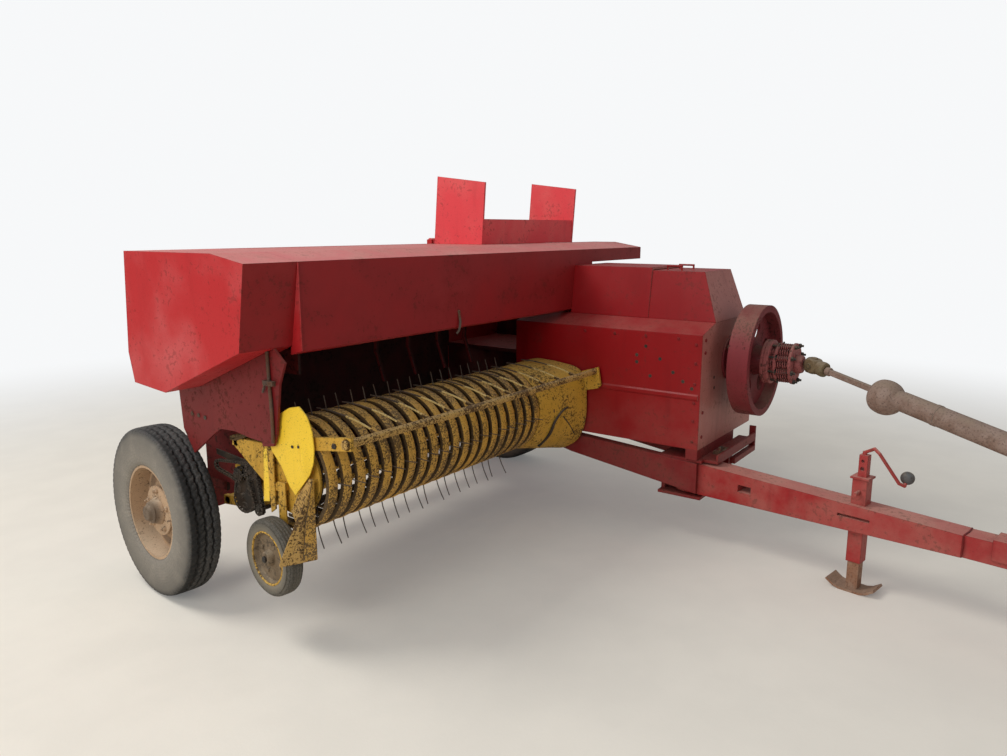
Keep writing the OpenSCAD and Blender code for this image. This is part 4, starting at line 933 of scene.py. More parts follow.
def heads(places: Any, normal: Sequence[float], size: float = 0.009, high: float = 0.006) -> Shell:
    """Bolt heads at several places that all look the same way.

    Args:
        places: where they stand.
        normal: the way that they look.
        size: half their width.
        high: how far they stand out.

    Returns:
        All heads as one surface.
    """
    n = np.asarray(normal, float) / np.linalg.norm(normal)
    other = np.array([0.0, 0, 1]) if abs(n[2]) < 0.9 else np.array([0.0, 1, 0])
    side = np.cross(other, n)
    side /= np.linalg.norm(side)
    basis = np.stack([n, side, np.cross(n, side)], -1)
    places = np.asarray(places, float) - n * 0.0015
    return repeated(hex_head(size, high), basis, places)


# ---------------------------------------------------------------- the workshop


class Workshop:
    """Makes pieces from surfaces, dresses them and hangs them on their bodies."""

    def __init__(self, frame: dict[str, Any]) -> None:
        """Args:
        """
        self.frame = frame
        self.coats = {coat: finish.make(coat.value) for coat, finish in FINISHES.items()}

    def dress(self, coat: Coat, *nodes: str) -> None:
        """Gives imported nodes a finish.

        Args:
            coat: the finish.
            nodes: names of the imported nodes.
        """
        for name in nodes:
            for slot in self.frame["nodes"][name].material_slots:
                slot.material = self.coats[coat]
            LOG.info("dressed %s as %s", name, coat.value)

    def piece(
        self,
        name: str,
        shells: Iterable[Shell],
        coat: Coat,
        body: str,
        replaces: Sequence[str] = (),
        bevel: float = 0.0,
        sharp: float = 38.0,
    ) -> bpy.types.Object:
        """Makes one piece.

        Args:
            name: the piece's name.
            shells: its surfaces.
            coat: its finish.
            body: the body that it rides on.
            replaces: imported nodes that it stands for.
            bevel: width of its rounded edges.
            sharp: edges that turn more than this many degrees stay sharp.

        Returns:
            The object.
        """
        shell = joined(shells)
        mesh = bpy.data.meshes.new(name)
        corners = np.concatenate([rows.ravel() for rows in shell.faces])
        sizes = np.concatenate([np.full(len(rows), rows.shape[1]) for rows in shell.faces])
        mesh.vertices.add(len(shell.points))
        mesh.vertices.foreach_set("co", shell.points.astype(np.float32).ravel())
        mesh.loops.add(len(corners))
        mesh.loops.foreach_set("vertex_index", corners.astype(np.int32))
        mesh.polygons.add(len(sizes))
        mesh.polygons.foreach_set("loop_start", np.concatenate([[0], np.cumsum(sizes)[:-1]]).astype(np.int32))
        mesh.update(calc_edges=True)
        mesh.validate()
        work = bmesh.new()
        work.from_mesh(mesh)
        bmesh.ops.remove_doubles(work, verts=work.verts, dist=WELD)
        bmesh.ops.dissolve_degenerate(work, dist=SHORT, edges=work.edges)
        bmesh.ops.recalc_face_normals(work, faces=work.faces)
        work.to_mesh(mesh)
        work.free()
        mesh.polygons.foreach_set("use_smooth", np.ones(len(mesh.polygons), bool))
        mesh.set_sharp_from_angle(angle=math.radians(sharp))
        mesh.materials.append(self.coats[coat])
        made = bpy.data.objects.new(name, mesh)
        bpy.context.scene.collection.objects.link(made)
        if bevel:
            rounding = made.modifiers.new("rounded_edges", "BEVEL")
            rounding.width, rounding.segments, rounding.limit_method = bevel, 2, "ANGLE"
            rounding.angle_limit = math.radians(BEVEL_FROM)
        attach(made, body)
        if replaces:
            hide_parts(*replaces)
        LOG.info("made %s: %d faces on %s", name, len(mesh.polygons), body)
        return made


class Assembly(Protocol):
    """What main asks of each sub-assembly."""

    def build(self, shop: Workshop) -> None:
        """Makes and dresses the sub-assembly's pieces."""


# ---------------------------------------------------------------- studio


@dataclass
class Studio:
    """Camera, lights, sky and floor."""

    camera_at: Point = (-2.996, -2.131, 1.527)
    camera_turn: Point = (79.11, 0.0, -54.15)
    lens: float = 27.78
    floor_grey: Colour = (0.86, 0.80, 0.69)
    sky_tint: Colour = (0.96, 0.98, 1.0)
    sky_strength: float = 0.36
    # metres from the middle between which the floor fades into the background
    fade: tuple[float, float] = (2.6, 7.5)

    def build(self) -> None:
        """Puts up the camera, the lamps, the sky and the floor."""
        scene = bpy.context.scene
        scene.view_settings.view_transform = "Standard"
        lens = bpy.data.cameras.new("camera")
        lens.lens, lens.sensor_width, lens.clip_end = self.lens, 36.0, 200
        camera = bpy.data.objects.new("camera", lens)
        camera.location = self.camera_at
        camera.rotation_euler = Euler([math.radians(a) for a in self.camera_turn])
        scene.collection.objects.link(camera)
        scene.camera = camera
        self._lamp("key", (-3.2, 3.4, 6.5), (-0.6, 0.4, 0.7), 3.0, 270, (1.0, 0.985, 0.96))
        self._lamp("side", (-6.0, -0.6, 3.2), (-0.6, 0.4, 0.8), 3.5, 115, (0.98, 0.99, 1.0))
        self._lamp("front", (1.5, -6.0, 3.4), (0.4, -0.4, 0.8), 3.5, 12, (1.0, 0.99, 0.98))
        self._sky()
        self._floor()

    def _lamp(self, name: str, at: Point, to: Point, size: float, power: float, colour: Colour) -> None:
        """One soft square lamp.

        Args:
            name: the lamp's name.
            at: where it hangs.
            to: what it points at.
            size: its side in metres.
            power: watts.
            colour: its light.
        """
        data = bpy.data.lights.new(name, "AREA")
        data.size, data.energy, data.color = size, power, colour
        lamp = bpy.data.objects.new(name, data)
        lamp.location = at
        lamp.rotation_euler = (Vector(to) - Vector(at)).to_track_quat("-Z", "Y").to_euler()
        bpy.context.scene.collection.objects.link(lamp)

    def _sky(self) -> None:
        """A plain soft sky that the camera and the gloss see as pale."""
        world = bpy.data.worlds.new("sky")
        bpy.context.scene.world = world
        world.use_nodes = True
        tree = world.node_tree
        tree.nodes.clear()
        path = tree.nodes.new("ShaderNodeLightPath")
        light, seen = tree.nodes.new("ShaderNodeBackground"), tree.nodes.new("ShaderNodeBackground")
        light.inputs[0].default_value, light.inputs[1].default_value = (*self.sky_tint, 1), self.sky_strength
        seen.inputs[0].default_value, seen.inputs[1].default_value = (*PALE, 1), 1.0
        mix, out = tree.nodes.new("ShaderNodeMixShader"), tree.nodes.new("ShaderNodeOutputWorld")
        tree.links.new(path.outputs["Is Camera Ray"], mix.inputs[0])
        tree.links.new(light.outputs[0], mix.inputs[1])
        tree.links.new(seen.outputs[0], mix.inputs[2])
        tree.links.new(mix.outputs[0], out.inputs[0])

    def _floor(self) -> None:
        """A pale floor disc: rings whose height stays at the ground, with a plain rough finish."""
        radius = np.array([0.001, 2, 4, 8, 16, 40])[:, None]
        angle = (np.arange(64) * TAU / 64)[None]
        grid = np.stack([radius * np.cos(angle), radius * np.sin(angle), 0 * radius * angle], -1)
        shell = lattice(grid[::-1], False, True)
        mesh = bpy.data.meshes.new("floor")
        mesh.from_pydata(shell.points.tolist(), [], shell.faces[0].tolist())
        s = Sheet("floor_pale")
        tone = s.cloud(3.0, 3).step(0.3, 0.7)
        colour = s.blend(self.floor_grey, tuple(c * 0.95 for c in self.floor_grey), tone)
        mesh.materials.append(s.finish(colour, 0.9, 0.0, s.cloud(60), 0.5 * MM))
        away = Number(
            s, s.node("ShaderNodeVectorMath", {"operation": "LENGTH"}, {0: s.place}).outputs["Value"],
        )
        seen = Number(s, s.node("ShaderNodeLightPath", {}, {}).outputs["Is Camera Ray"])
        glow = s.node("ShaderNodeEmission", {}, {"Color": PALE, "Strength": 1.0})
        out = next(n for n in s.tree.nodes if n.bl_idname == "ShaderNodeOutputMaterial")
        plain_look = out.inputs[0].links[0].from_socket
        share = (away.step(*self.fade) * 0.86 + 0.14) * seen
        fade = s.node("ShaderNodeMixShader", {}, {0: share, 1: plain_look, 2: glow.outputs[0]})
        s.tree.links.new(fade.outputs[0], out.inputs[0])
        floor = bpy.data.objects.new("floor", mesh)
        bpy.context.scene.collection.objects.link(floor)


# ---------------------------------------------------------------- road wheels


@dataclass
class RoadWheel:
    """A road tyre with worn highway tread, and the bolts, cap and valve of its rim."""

    name: str
    body: str
    coat: Coat
    middle: Point
    width: float
    toe: float
    outside: int
    outer: float = 0.36
    bead: float = 0.2025
    rows: int = 480
    grooves: int = 3
    groove_pitch: float = 0.205
    groove_depth: float = 0.0080
    groove_half: float = 0.0042
    cut_depth: float = 0.0034
    waves: int = 48
    cuts: int = 80

    def section(self) -> Array:
        """Tyre section as (across, radius): side walls and tread joined by smooth curves, walked evenly.

        Returns:
            (96, 2) points.
        """
        w, r0, r1 = self.width, self.bead, self.outer
        half = [
            (0.40, r0), (0.455, r0 + 0.012), (0.485, r0 + 0.032), (0.50, r0 + 0.068), (0.497, r1 - 0.058),
            (0.485, r1 - 0.034), (0.462, r1 - 0.0165), (0.43, r1 - 0.0075), (0.36, r1 - 0.0025),
            (0.22, r1 - 0.0005),
        ]
        side = [(-a * w, r) for a, r in half]
        points = side + [(0.0, r1)] + [(-a, r) for a, r in side[::-1]]
        return even_path(smooth_path(points, 400), 96)

    def tread(self) -> Shell:
        """The tyre: radius falls in wavy grooves round the tread and in short cuts across its ribs.

        Returns:
            The tyre about the origin.
        """
        flat = self.section()
        angle = (np.arange(self.rows) * TAU / self.rows)[:, None]
        across, radius = flat[None, :, 0], flat[None, :, 1]
        on_tread = 1 / (1 + np.exp(-(radius - self.outer + 0.012) / 0.0012))
        lines = (np.arange(self.grooves) - (self.grooves - 1) / 2) * self.width * self.groove_pitch
        swing = np.sin(angle * self.waves)
        wave = 0.0024 * np.sign(swing) * np.abs(swing) ** 0.5
        groove = sum(np.exp(-(((across - line - wave) / self.groove_half) ** 4)) for line in lines)
        rib = np.floor((across - wave) / (self.width * self.groove_pitch) + (self.grooves - 1) / 2 + 1)
        slant = angle * self.cuts + across * 160 + rib * 1.9
        cuts = np.clip((np.cos(slant) - 0.72) / 0.28, 0, 1)
        shoulder = np.exp(-(((np.abs(across) - self.width * 0.43) / 0.012) ** 2))
        notches = np.clip((np.cos(angle * self.cuts) - 0.2) / 0.8, 0, 1)
        sink = on_tread * (self.groove_depth * groove + self.cut_depth * cuts)
        r = radius - (sink + self.cut_depth * shoulder * notches)
        rim = np.full((1, 2), self.bead + 0.004)
        r = np.hstack([r, rim + 0 * angle])
        x = np.hstack([across, self.width * 0.38 * np.array([[1, -1]])]) + 0 * angle
        return lattice(np.stack([x, r * np.cos(angle), r * np.sin(angle)], -1), True, True)

    def hub(self) -> list[Shell]:
        """Five wheel nuts on the disc, the hub's flange and cap, and the valve.

        Returns:
            The fittings about the origin.
        """
        spots = np.arange(5) * TAU / 5 + 0.3
        nut = turned(
            [
                (0, 0), (0, 0.0115), (0.012, 0.0115), (0.015, 0.009), (0.015, 0.0055), (0.024, 0.0055),
                (0.024, 0),
            ],
            6, False,
        )
        nuts = [nut.at(0.021, 0.085 * math.cos(a), 0.085 * math.sin(a)) for a in spots]
        flange = turned([(0.018, 0), (0.018, 0.107), (0.024, 0.107), (0.026, 0.103), (0.026, 0.0)], 40, False)
        cap = turned(
            [(0.05, 0), (0.05, 0.046), (0.06, 0.046), (0.066, 0.036), (0.078, 0.03), (0.082, 0.0)], 32, False,
        )
        valve = bar((0.026, 0.163, 0), (0.060, 0.150, 0), 0.004, 8)
        return [flange, cap, valve, *nuts]

    def build(self, shop: Workshop) -> None:
        """Makes the tyre in place of its node and the fittings on its rim.

        Args:
            shop: makes and dresses the pieces.
        """
        basis = turn((0, 0, 1), -self.toe)
        side = basis @ np.diag([self.outside, self.outside, 1.0])
        tread = placed([self.tread()], basis, self.middle)
        shop.piece(f"{self.name}_tread", tread, self.coat, self.body, [self.name], sharp=50)
        shop.piece(
            f"{self.name}_hub_fittings", placed(self.hub(), side, self.middle), Coat.TAN, self.body, sharp=32
        )
        shop.dress(Coat.TAN, self.name.replace("tyre", "rim"))


# ---------------------------------------------------------------- pickup


@dataclass
class Pickup:
    """Stripper bands, drum cover, reel, end shields, wind guard and gauge wheel."""

    axis_y: float = 0.080
    axis_z: float = 0.645
    band_r: float = 0.208
    first_x: float = -1.258
    pitch: float = 0.068
    gap: float = 0.023
    bands: int = 20
    right_x: float = -1.249
    left_x: float = 0.433
    rail_y: float = 0.400
    bar_r: float = 0.128
    guard_y: float = -0.225
    guard_z: float = 0.812
    gauge: Point = (-1.316, 0.122, 0.345)
    gauge_r: float = 0.146
    toe: float = 6.0

    def band_path(self) -> Array:
        """Side view of a band: straight in from behind, round the reel's front, and back over the top.

        Returns:
            (n, 2) points along Y and Z.
        """
        angle = np.radians(np.linspace(270, 72, 40))
        arc = np.stack(
            [self.axis_y + self.band_r * np.cos(angle), self.axis_z + self.band_r * np.sin(angle)], -1,
        )
        back = [(self.rail_y, self.axis_z + 0.096), (self.rail_y + 0.032, self.axis_z + 0.096)]
        return np.vstack([[(self.axis_y + 0.110, self.axis_z - self.band_r + 0.004)], arc, back])

    def band_section(self, width: float) -> Array:
        """A shallow channel: crowned face, rounded corners and short walls turned in, with its thickness.

        Args:
            width: the band's width.

        Returns:
            (n, 2) points across and outward.
        """
        t = np.linspace(-1, 1, 9)
        face = np.stack([t * (width / 2 - 0.006), -0.0014 * t**2], -1)
        corner = np.array([(width / 2 - 0.0022, -0.0032), (width / 2, -0.008), (width / 2, -0.017)])
        outer = np.vstack([(corner * (-1, 1))[::-1], face, corner])
        inner = np.stack([outer[:, 0] * (1 - 0.0052 / width), outer[:, 1] - 0.0024], -1)
        inner[[0, -1], 1] = -0.017
        return np.vstack([outer, inner[::-1]])

    def bands_shell(self) -> Shell:
        """All bands: one channel swept along the band's path, copied at the pitch.

        Returns:
            The bands as one surface.
        """
        width = self.pitch - self.gap
        flat = even_path(self.band_path(), 64)
        path = np.insert(flat, 0, 0, 1)
        one = self.band_shell_across(path, self.band_section(width))
        spots = self.first_x + width / 2 + np.arange(self.bands) * self.pitch
        return repeated(one, STILL, along_x(spots, 0, 0))

    def band_shell_across(self, path: Array, section: Array) -> Shell:
        """A section laid across X and along the path's outward normal: its direction turned a quarter.

        Args:
            path: (stations, 3) points.
            section: (n, 2) points across and outward.

        Returns:
            The closed band.
        """
        ahead = np.gradient(path, axis=0)
        ahead /= np.linalg.norm(ahead, axis=1, keepdims=True)
        out = np.stack([0 * ahead[:, 0], -ahead[:, 2], ahead[:, 1]], -1)
        out *= np.sign(
            np.sum(out * (path - np.array([0, self.axis_y + 0.05, self.axis_z])), 1, keepdims=True)
        )
        across = section[None, :, :1] * np.array([1.0, 0, 0])
        grid = path[:, None] + across + section[None, :, 1:] * out[:, None]
        return lattice(grid, False, True, True)

    def drum_outline(self) -> Array:
        """Side view of the closed drum cover at its far end, as smooth turns through its corners.

        Returns:
            (72, 2) points along Y and Z.
        """
        steps = [
            (0.14, -1.33), (-0.45, -1.31), (-0.75, -1.20), (-1.01, -0.99), (-1.16, -0.70), (-1.23, -0.37),
            (-1.24, 0.05), (-1.21, 0.45), (-1.15, 0.62), (-1.07, 0.76), (-0.91, 0.85), (-0.67, 0.90),
            (0, 0.96), (0.48, 0.91),
        ]
        points = np.array(steps) * self.band_r + (self.axis_y, self.axis_z)
        points = np.vstack([points, [(self.rail_y + 0.032, self.axis_z + 0.096)]])
        return even_path(smooth_path(points, 300), 72)

    def drum_shell(self) -> Shell:
        """The cover: its outline goes evenly from the bands' own to the wider one at the far end.

        Returns:
            The closed sheet.
        """
        outline = self.drum_outline()
        start = self.first_x + self.bands * self.pitch - self.gap + 0.001
        t = np.linspace(0, 1, 16)[:, None]
        flat = even_path(self.band_path(), 72)[None] * (1 - t[..., None]) + outline[None] * t[..., None]
        x = start + (self.left_x - start) * t + 0 * outline[None, :, 0]
        dent = 0.0012 * np.sin(x * 31) * np.sin(flat[..., 1] * 23)
        middle = np.array([self.axis_y + 0.03, self.axis_z - 0.02])
        away = flat - middle
        away /= np.linalg.norm(away, axis=-1, keepdims=True)
        outer = np.concatenate([x[..., None], flat + away * dent[..., None] - away * 0.001], -1)
        inner = np.concatenate([x[..., None], flat - away * 0.005], -1)
        return sheet_shell(outer, inner)

    def tine(self, reach: float, sag: float) -> Array:
        """A tine's line from its bar: straight out by the reach, bowed by half a sine wave."""
        t = np.linspace(0, 1, 9)
        return np.stack([0 * t, t * reach, sag * np.sin(t * math.pi)], -1)

    def reel_shells(self) -> list[Shell]:
        """Shaft, discs, four tine bars with coiled tines; each bar's tines lean as the cam holds them.

        Returns:
            The reel's surfaces.
        """
        gaps = self.first_x + np.arange(1, self.bands) * self.pitch - self.gap / 2
        axis = np.array([0, self.axis_y, self.axis_z])
        shells = [bar((self.right_x + 0.002, *axis[1:]), (self.left_x + 0.010, *axis[1:]), 0.0178, 20)]
        disc = turned([(0, 0.017), (0, 0.142), (0.002, 0.144), (0.005, 0.142), (0.005, 0.017)], 40)
        spots = np.array([self.right_x + 0.02, -0.701, -0.173, self.left_x - 0.03])
        shells.append(repeated(disc, STILL, along_x(spots, axis[1], axis[2])))
        # bar angle, lean of the tines in degrees, reach and curve
        settings = [
            (270, 8, 0.194, 0.022), (180, -3, 0.132, 0.005), (90, 12, 0.136, 0.004), (0, 60, 0.120, 0.012),
        ]
        for angle, lean, reach, sag in settings:
            a = math.radians(angle)
            at = axis + self.bar_r * np.array([0, math.cos(a), math.sin(a)])
            shells.append(bar((self.right_x + 0.02, *at[1:]), (self.left_x - 0.025, *at[1:]), 0.0128, 14))
            basis = turn((1, 0, 0), angle - lean)
            wire = tube(self.tine(reach, sag), np.linspace(0.0027, 0.0022, 9), 6, (1, 0, 0))
            winding = coil(0.0165, 0.0028, 0.014, 3, 5, 10)
            origins = along_x(gaps, at[1], at[2])
            order = np.arange(len(gaps))
            sway = (4.5 if angle == 270 else 2.5) * np.sin(order * 2.7 + angle)
            jitter = turn((1, 0, 0), sway) @ turn((0, 1, 0), 1.5 * np.sin(order * 1.9 + lean))
            shells += [repeated(wire, jitter @ basis, origins), repeated(winding, STILL, origins)]
        return shells

    def leaf_shell(self) -> Shell:
        """The bright end shield: rings of its outline drawn in to a spine, pressed out along a crease.

        Returns:
            The closed sheet.
        """
        y, z = self.axis_y, self.axis_z
        rim = np.array([
            (y - 0.045, z - 0.060), (y - 0.092, z - 0.010), (y - 0.128, z + 0.030), (y - 0.150, z + 0.078),
            (y - 0.157, z + 0.128), (y - 0.150, z + 0.195), (y - 0.126, z + 0.244), (y - 0.089, z + 0.273),
            (y - 0.036, z + 0.262), (y + 0.012, z + 0.236), (y + 0.060, z + 0.200), (y + 0.078, z + 0.150),
            (y + 0.080, z + 0.090), (y + 0.055, z + 0.065), (y + 0.026, z + 0.036), (y - 0.012, z - 0.030),
        ])
        rim = even_path(np.vstack([rim, rim[:1]]), 65)[:-1]
        heart = np.array([y - 0.055, z + 0.13])
        t = np.linspace(1, 0.02, 14)[:, None, None]
        flat = heart + (rim - heart)[None] * t
        crease = 0.012 * np.exp(
            -((((flat[..., 0] - (y - 0.118)) - (flat[..., 1] - z - 0.02) * 0.10) / 0.016) ** 2)
        )
        dish = 0.006 * (1 - t[..., 0] ** 4)
        press = crease * np.clip((1 - t[..., 0]) * 4, 0, 1)
        press = press * np.clip((z + 0.16 - flat[..., 1]) / 0.05, 0, 1) + dish
        x = self.right_x - 0.026 - press
        outer = np.concatenate([x[..., None], flat], -1)
        inner = outer + (0.004, 0, 0)
        hearts = [np.stack([face[-1], face[-1] * 0 + face[-1].mean(0)]) for face in (outer, inner)]
        return joined(
            lattice(grid, False, True)
            for grid in (outer, inner, np.stack([outer[0], inner[0]]), *hearts)
        )

    def shoe_shell(self) -> Shell:
        """The pointed shoe: a long flat triangle, turned 17 degrees about Z.

        Returns:
            The closed plate.
        """
        y, z = self.axis_y - 0.136, self.axis_z
        x = self.right_x - 0.022
        outline = np.array(
            [
                (-0.003, 0.020), (-0.018, -0.030), (-0.080, -0.145), (-0.138, -0.268), (-0.134, -0.276),
                (0.0, -0.284), (0.0, 0.020),
            ]
        )
        back = turn((0, 0, 1), -17)
        return plate(outline, -0.004, 0.0, 1).moved(back, (x, y - 0.001, z))

    def shields(self, shop: Workshop) -> None:
        """Leaf, shoe with its gusset, posts with a row of thin dark discs as painted shade for each hole, and
        the gauge wheel's pin, in place of the plain node.

        Args:
            shop: makes and dresses the pieces.
        """
        y, z = self.axis_y, self.axis_z
        gy, gz = self.gauge[1:]
        leaf_x = self.right_x - 0.034
        spacer = box_shell((leaf_x + 0.011, y - 0.090, z + 0.012), (self.right_x, y - 0.030, z + 0.056))
        shop.piece(
            "leaf_shield", [self.leaf_shell(), spacer], Coat.BRIGHT_YELLOW, "pickup", ["pickup_shields"],
        )
        shoe_y = y - 0.136
        gusset = plate(
            [
                (shoe_y - 0.001, z + 0.018), (shoe_y - 0.001, z - 0.280), (shoe_y + 0.018, z - 0.280),
                (y - 0.020, z - 0.125), (y - 0.058, z - 0.063), (shoe_y + 0.008, z + 0.018),
            ],
            leaf_x + 0.004, leaf_x + 0.010,
        )
        fold = bar((leaf_x + 0.008, shoe_y, z - 0.280), (leaf_x + 0.008, shoe_y, z + 0.018), 0.007, 12)
        face = plate(
            [(-0.006, 0.018), (-0.040, -0.130), (-0.056, -0.270), (0.0, -0.280), (0.0, 0.018)], -0.010,
            -0.0045, 1,
        )
        face = face.moved(turn((0, 0, 1), -10), (self.right_x - 0.022, shoe_y - 0.001, z))
        shop.piece("shoe_face", [face], Coat.YELLOW, "pickup", bevel=0.001)
        shop.piece("pickup_shoe", [self.shoe_shell(), gusset, fold], Coat.PIPE, "pickup", bevel=0.0015)
        front = plate(
            [
                (gy - 0.024, z - 0.030), (gy - 0.024, gz - 0.026), (gy + 0.018, gz - 0.026),
                (gy + 0.018, z - 0.030),
            ],
            leaf_x + 0.013, leaf_x + 0.018,
        )
        wing = plate(
            [
                (gy + 0.012, z - 0.030), (gy + 0.012, gz - 0.022), (gy + 0.018, gz - 0.022),
                (gy + 0.018, z - 0.030),
            ],
            leaf_x + 0.013, self.first_x - 0.001,
        )
        rear = plate(
            [
                (gy + 0.036, z - 0.140), (gy + 0.036, z + 0.084), (gy + 0.070, z + 0.088),
                (gy + 0.064, z - 0.160),
            ],
            leaf_x + 0.013, leaf_x + 0.019,
        )
        tie = plate(
            [(gy - 0.02, z - 0.06), (gy + 0.066, z - 0.075), (gy + 0.066, z - 0.045), (gy - 0.02, z - 0.03)],
            leaf_x + 0.018, self.right_x,
        )
        pin = bar((-0.046, 0, 0), (self.right_x - self.gauge[0] - 0.010, 0, 0), 0.0118, 20)
        pin = pin.moved(turn((0, 0, 1), -self.toe), self.gauge)
        # painted shade: thin dark heads stand for each hole in the posts
        hole_shades = heads(
            [(leaf_x + 0.013, gy - 0.004, h) for h in np.arange(z - 0.26, z - 0.05, 0.032)], (-1, 0, 0),
            0.0055, 0.0012,
        )
        flat = plate(
            [(0.178, 0.735), (0.214, 0.727), (0.231, 0.519), (0.196, 0.526)], leaf_x + 0.016, leaf_x + 0.0185,
        )
        side = plate(
            [(0.211, 0.727), (0.214, 0.727), (0.231, 0.519), (0.228, 0.519)], leaf_x + 0.0165,
            self.right_x - 0.010,
        )
        shop.piece("end_angle", [flat, side], Coat.BRIGHT_YELLOW, "pickup")
        shop.piece("gauge_posts", [front, wing, rear, tie], Coat.DRUM_YELLOW, "pickup", bevel=0.0012)
        shop.piece("gauge_pin_and_hole_shades", [pin, hole_shades], Coat.GREASY, "pickup")
        marks = heads(
            [(leaf_x - 0.003, y - 0.053, z + 0.124), (leaf_x - 0.003, y - 0.086, z + 0.129)], (-1, 0, 0),
            0.006, 0.002,
        )
        shop.piece("leaf_rivets", [marks], Coat.GREASY, "pickup")

    def wind_guard(self, shop: Workshop) -> None:
        """Guard pipe with its end nut, and the thin rods laid back over the bands from short sleeves.

        Args:
            shop: makes and dresses the pieces.
        """
        x = np.linspace(self.right_x - 0.020, self.left_x + 0.016, 40)
        sag = 0.004 * np.sin((x - x[0]) / (x[-1] - x[0]) * math.pi)
        y, z = self.guard_y, self.guard_z
        pipe = tube(np.stack([x, y + 0 * x, z - sag], -1), 0.0155, 18)
        cap = bar((x[0] - 0.004, y, z), (x[0] + 0.006, y, z), 0.018, 6)
        shop.piece("guard_pipe", [pipe, cap], Coat.PIPE, "guard", ["wind_guard"])
        spots = self.first_x + (self.pitch - self.gap) / 2 + (2 * np.arange(11) + 2) * self.pitch
        path = smooth_path([(0, 0, 0), (0, 0.120, 0.034), (0, 0.250, 0.052), (0, 0.330, 0.053)], 14)
        near = tube(path[:7], np.full(7, 0.0040), 8, (1, 0, 0))
        far = tube(path[6:], np.linspace(0.0034, 0.0026, 8), 8, (1, 0, 0))
        sleeve = bar((0, -0.006, -0.002), (0, 0.045, 0.012), 0.0085, 10)
        origins = along_x(spots, self.guard_y, self.guard_z)
        bend = turn((0, 0, 1), 1.6 * np.sin(np.arange(11) * 2.1))
        shop.piece("guard_rods", [repeated(near, bend, origins)], Coat.ROD, "guard")
        shop.piece("guard_rod_ends", [repeated(far, bend, origins)], Coat.SPRING, "guard")
        shop.piece("guard_sleeves", [repeated(sleeve, bend, origins)], Coat.YELLOW, "guard")

    def gauge_wheel(self, shop: Workshop) -> None:
        """Gauge wheel: ribbed tyre, yellow rim edge, dished disc and hub.

        Args:
            shop: makes and dresses the pieces.
        """
        r = self.gauge_r
        basis = turn((0, 0, 1), -self.toe)
        t = np.linspace(-1, 1, 61)
        crown = r - 0.004 * t**4 - 0.010 * np.abs(t) ** 14
        ribs = 0.0022 * np.clip(np.cos(t * 5 * math.pi), 0, 1) * (np.abs(t) < 0.86)
        tread = np.stack([t * 0.031, crown - ribs], -1)
        wall = np.array([(0.035, r - 0.014), (0.0352, r - 0.026), (0.033, r - 0.038), (0.030, r - 0.046)])
        loop = np.vstack([tread, wall, (wall * (-1, 1))[::-1]])
        tyre = turned(loop, 96).moved(basis, self.gauge)
        shop.piece("gauge_tyre", [tyre], Coat.GAUGE_TYRE, "gauge", ["gauge_wheel"], sharp=45)
        edge = turned(
            [
                (-0.033, r - 0.048), (-0.031, r - 0.043), (-0.024, r - 0.046), (-0.024, r - 0.050),
                (-0.030, r - 0.051),
            ],
            72,
        )
        edge2 = Shell(edge.points * (-1, 1, 1), edge.faces)
        shop.piece("gauge_rim_edges", placed((edge, edge2), basis, self.gauge), Coat.DRUM_YELLOW, "gauge")
        disc = turned(
            [
                (-0.028, r - 0.049), (-0.026, r - 0.053), (-0.012, r - 0.058), (-0.010, 0.05), (-0.016, 0.03),
                (-0.034, 0.026), (-0.038, 0.022), (-0.038, 0.0122), (0.034, 0.0122), (0.034, 0.024),
                (0.0, 0.03), (0.006, r - 0.06), (0.024, r - 0.053), (0.028, r - 0.049),
            ],
            64,
        )
        nut = hex_head(0.007, 0.006)
        nuts = [
            nut.moved(turn((0, 0, 1), 180), (-0.011, 0.062 * math.cos(a), 0.062 * math.sin(a)))
            for a in np.arange(4) * TAU / 4 + 0.4
        ]
        shop.piece("gauge_disc", placed([disc, *nuts], basis, self.gauge), Coat.DISC, "gauge")

    def build(self, shop: Workshop) -> None:
        """Makes the pickup's pieces.

        Args:
            shop: makes and dresses the pieces.
        """
        shop.piece(
            "channel_bands", [self.bands_shell(), self.rear_strip()], Coat.YELLOW, "pickup",
            ["stripper_bands"],
        )
        shop.piece("drum_cover", [self.drum_shell()], Coat.DRUM_YELLOW, "pickup")
        shop.piece("tined_reel", self.reel_shells(), Coat.SPRING, "reel_set", ["reel"])
        self.shields(shop)
        self.wind_guard(shop)
        self.gauge_wheel(shop)
        self.fittings(shop)
        self.frame(shop)

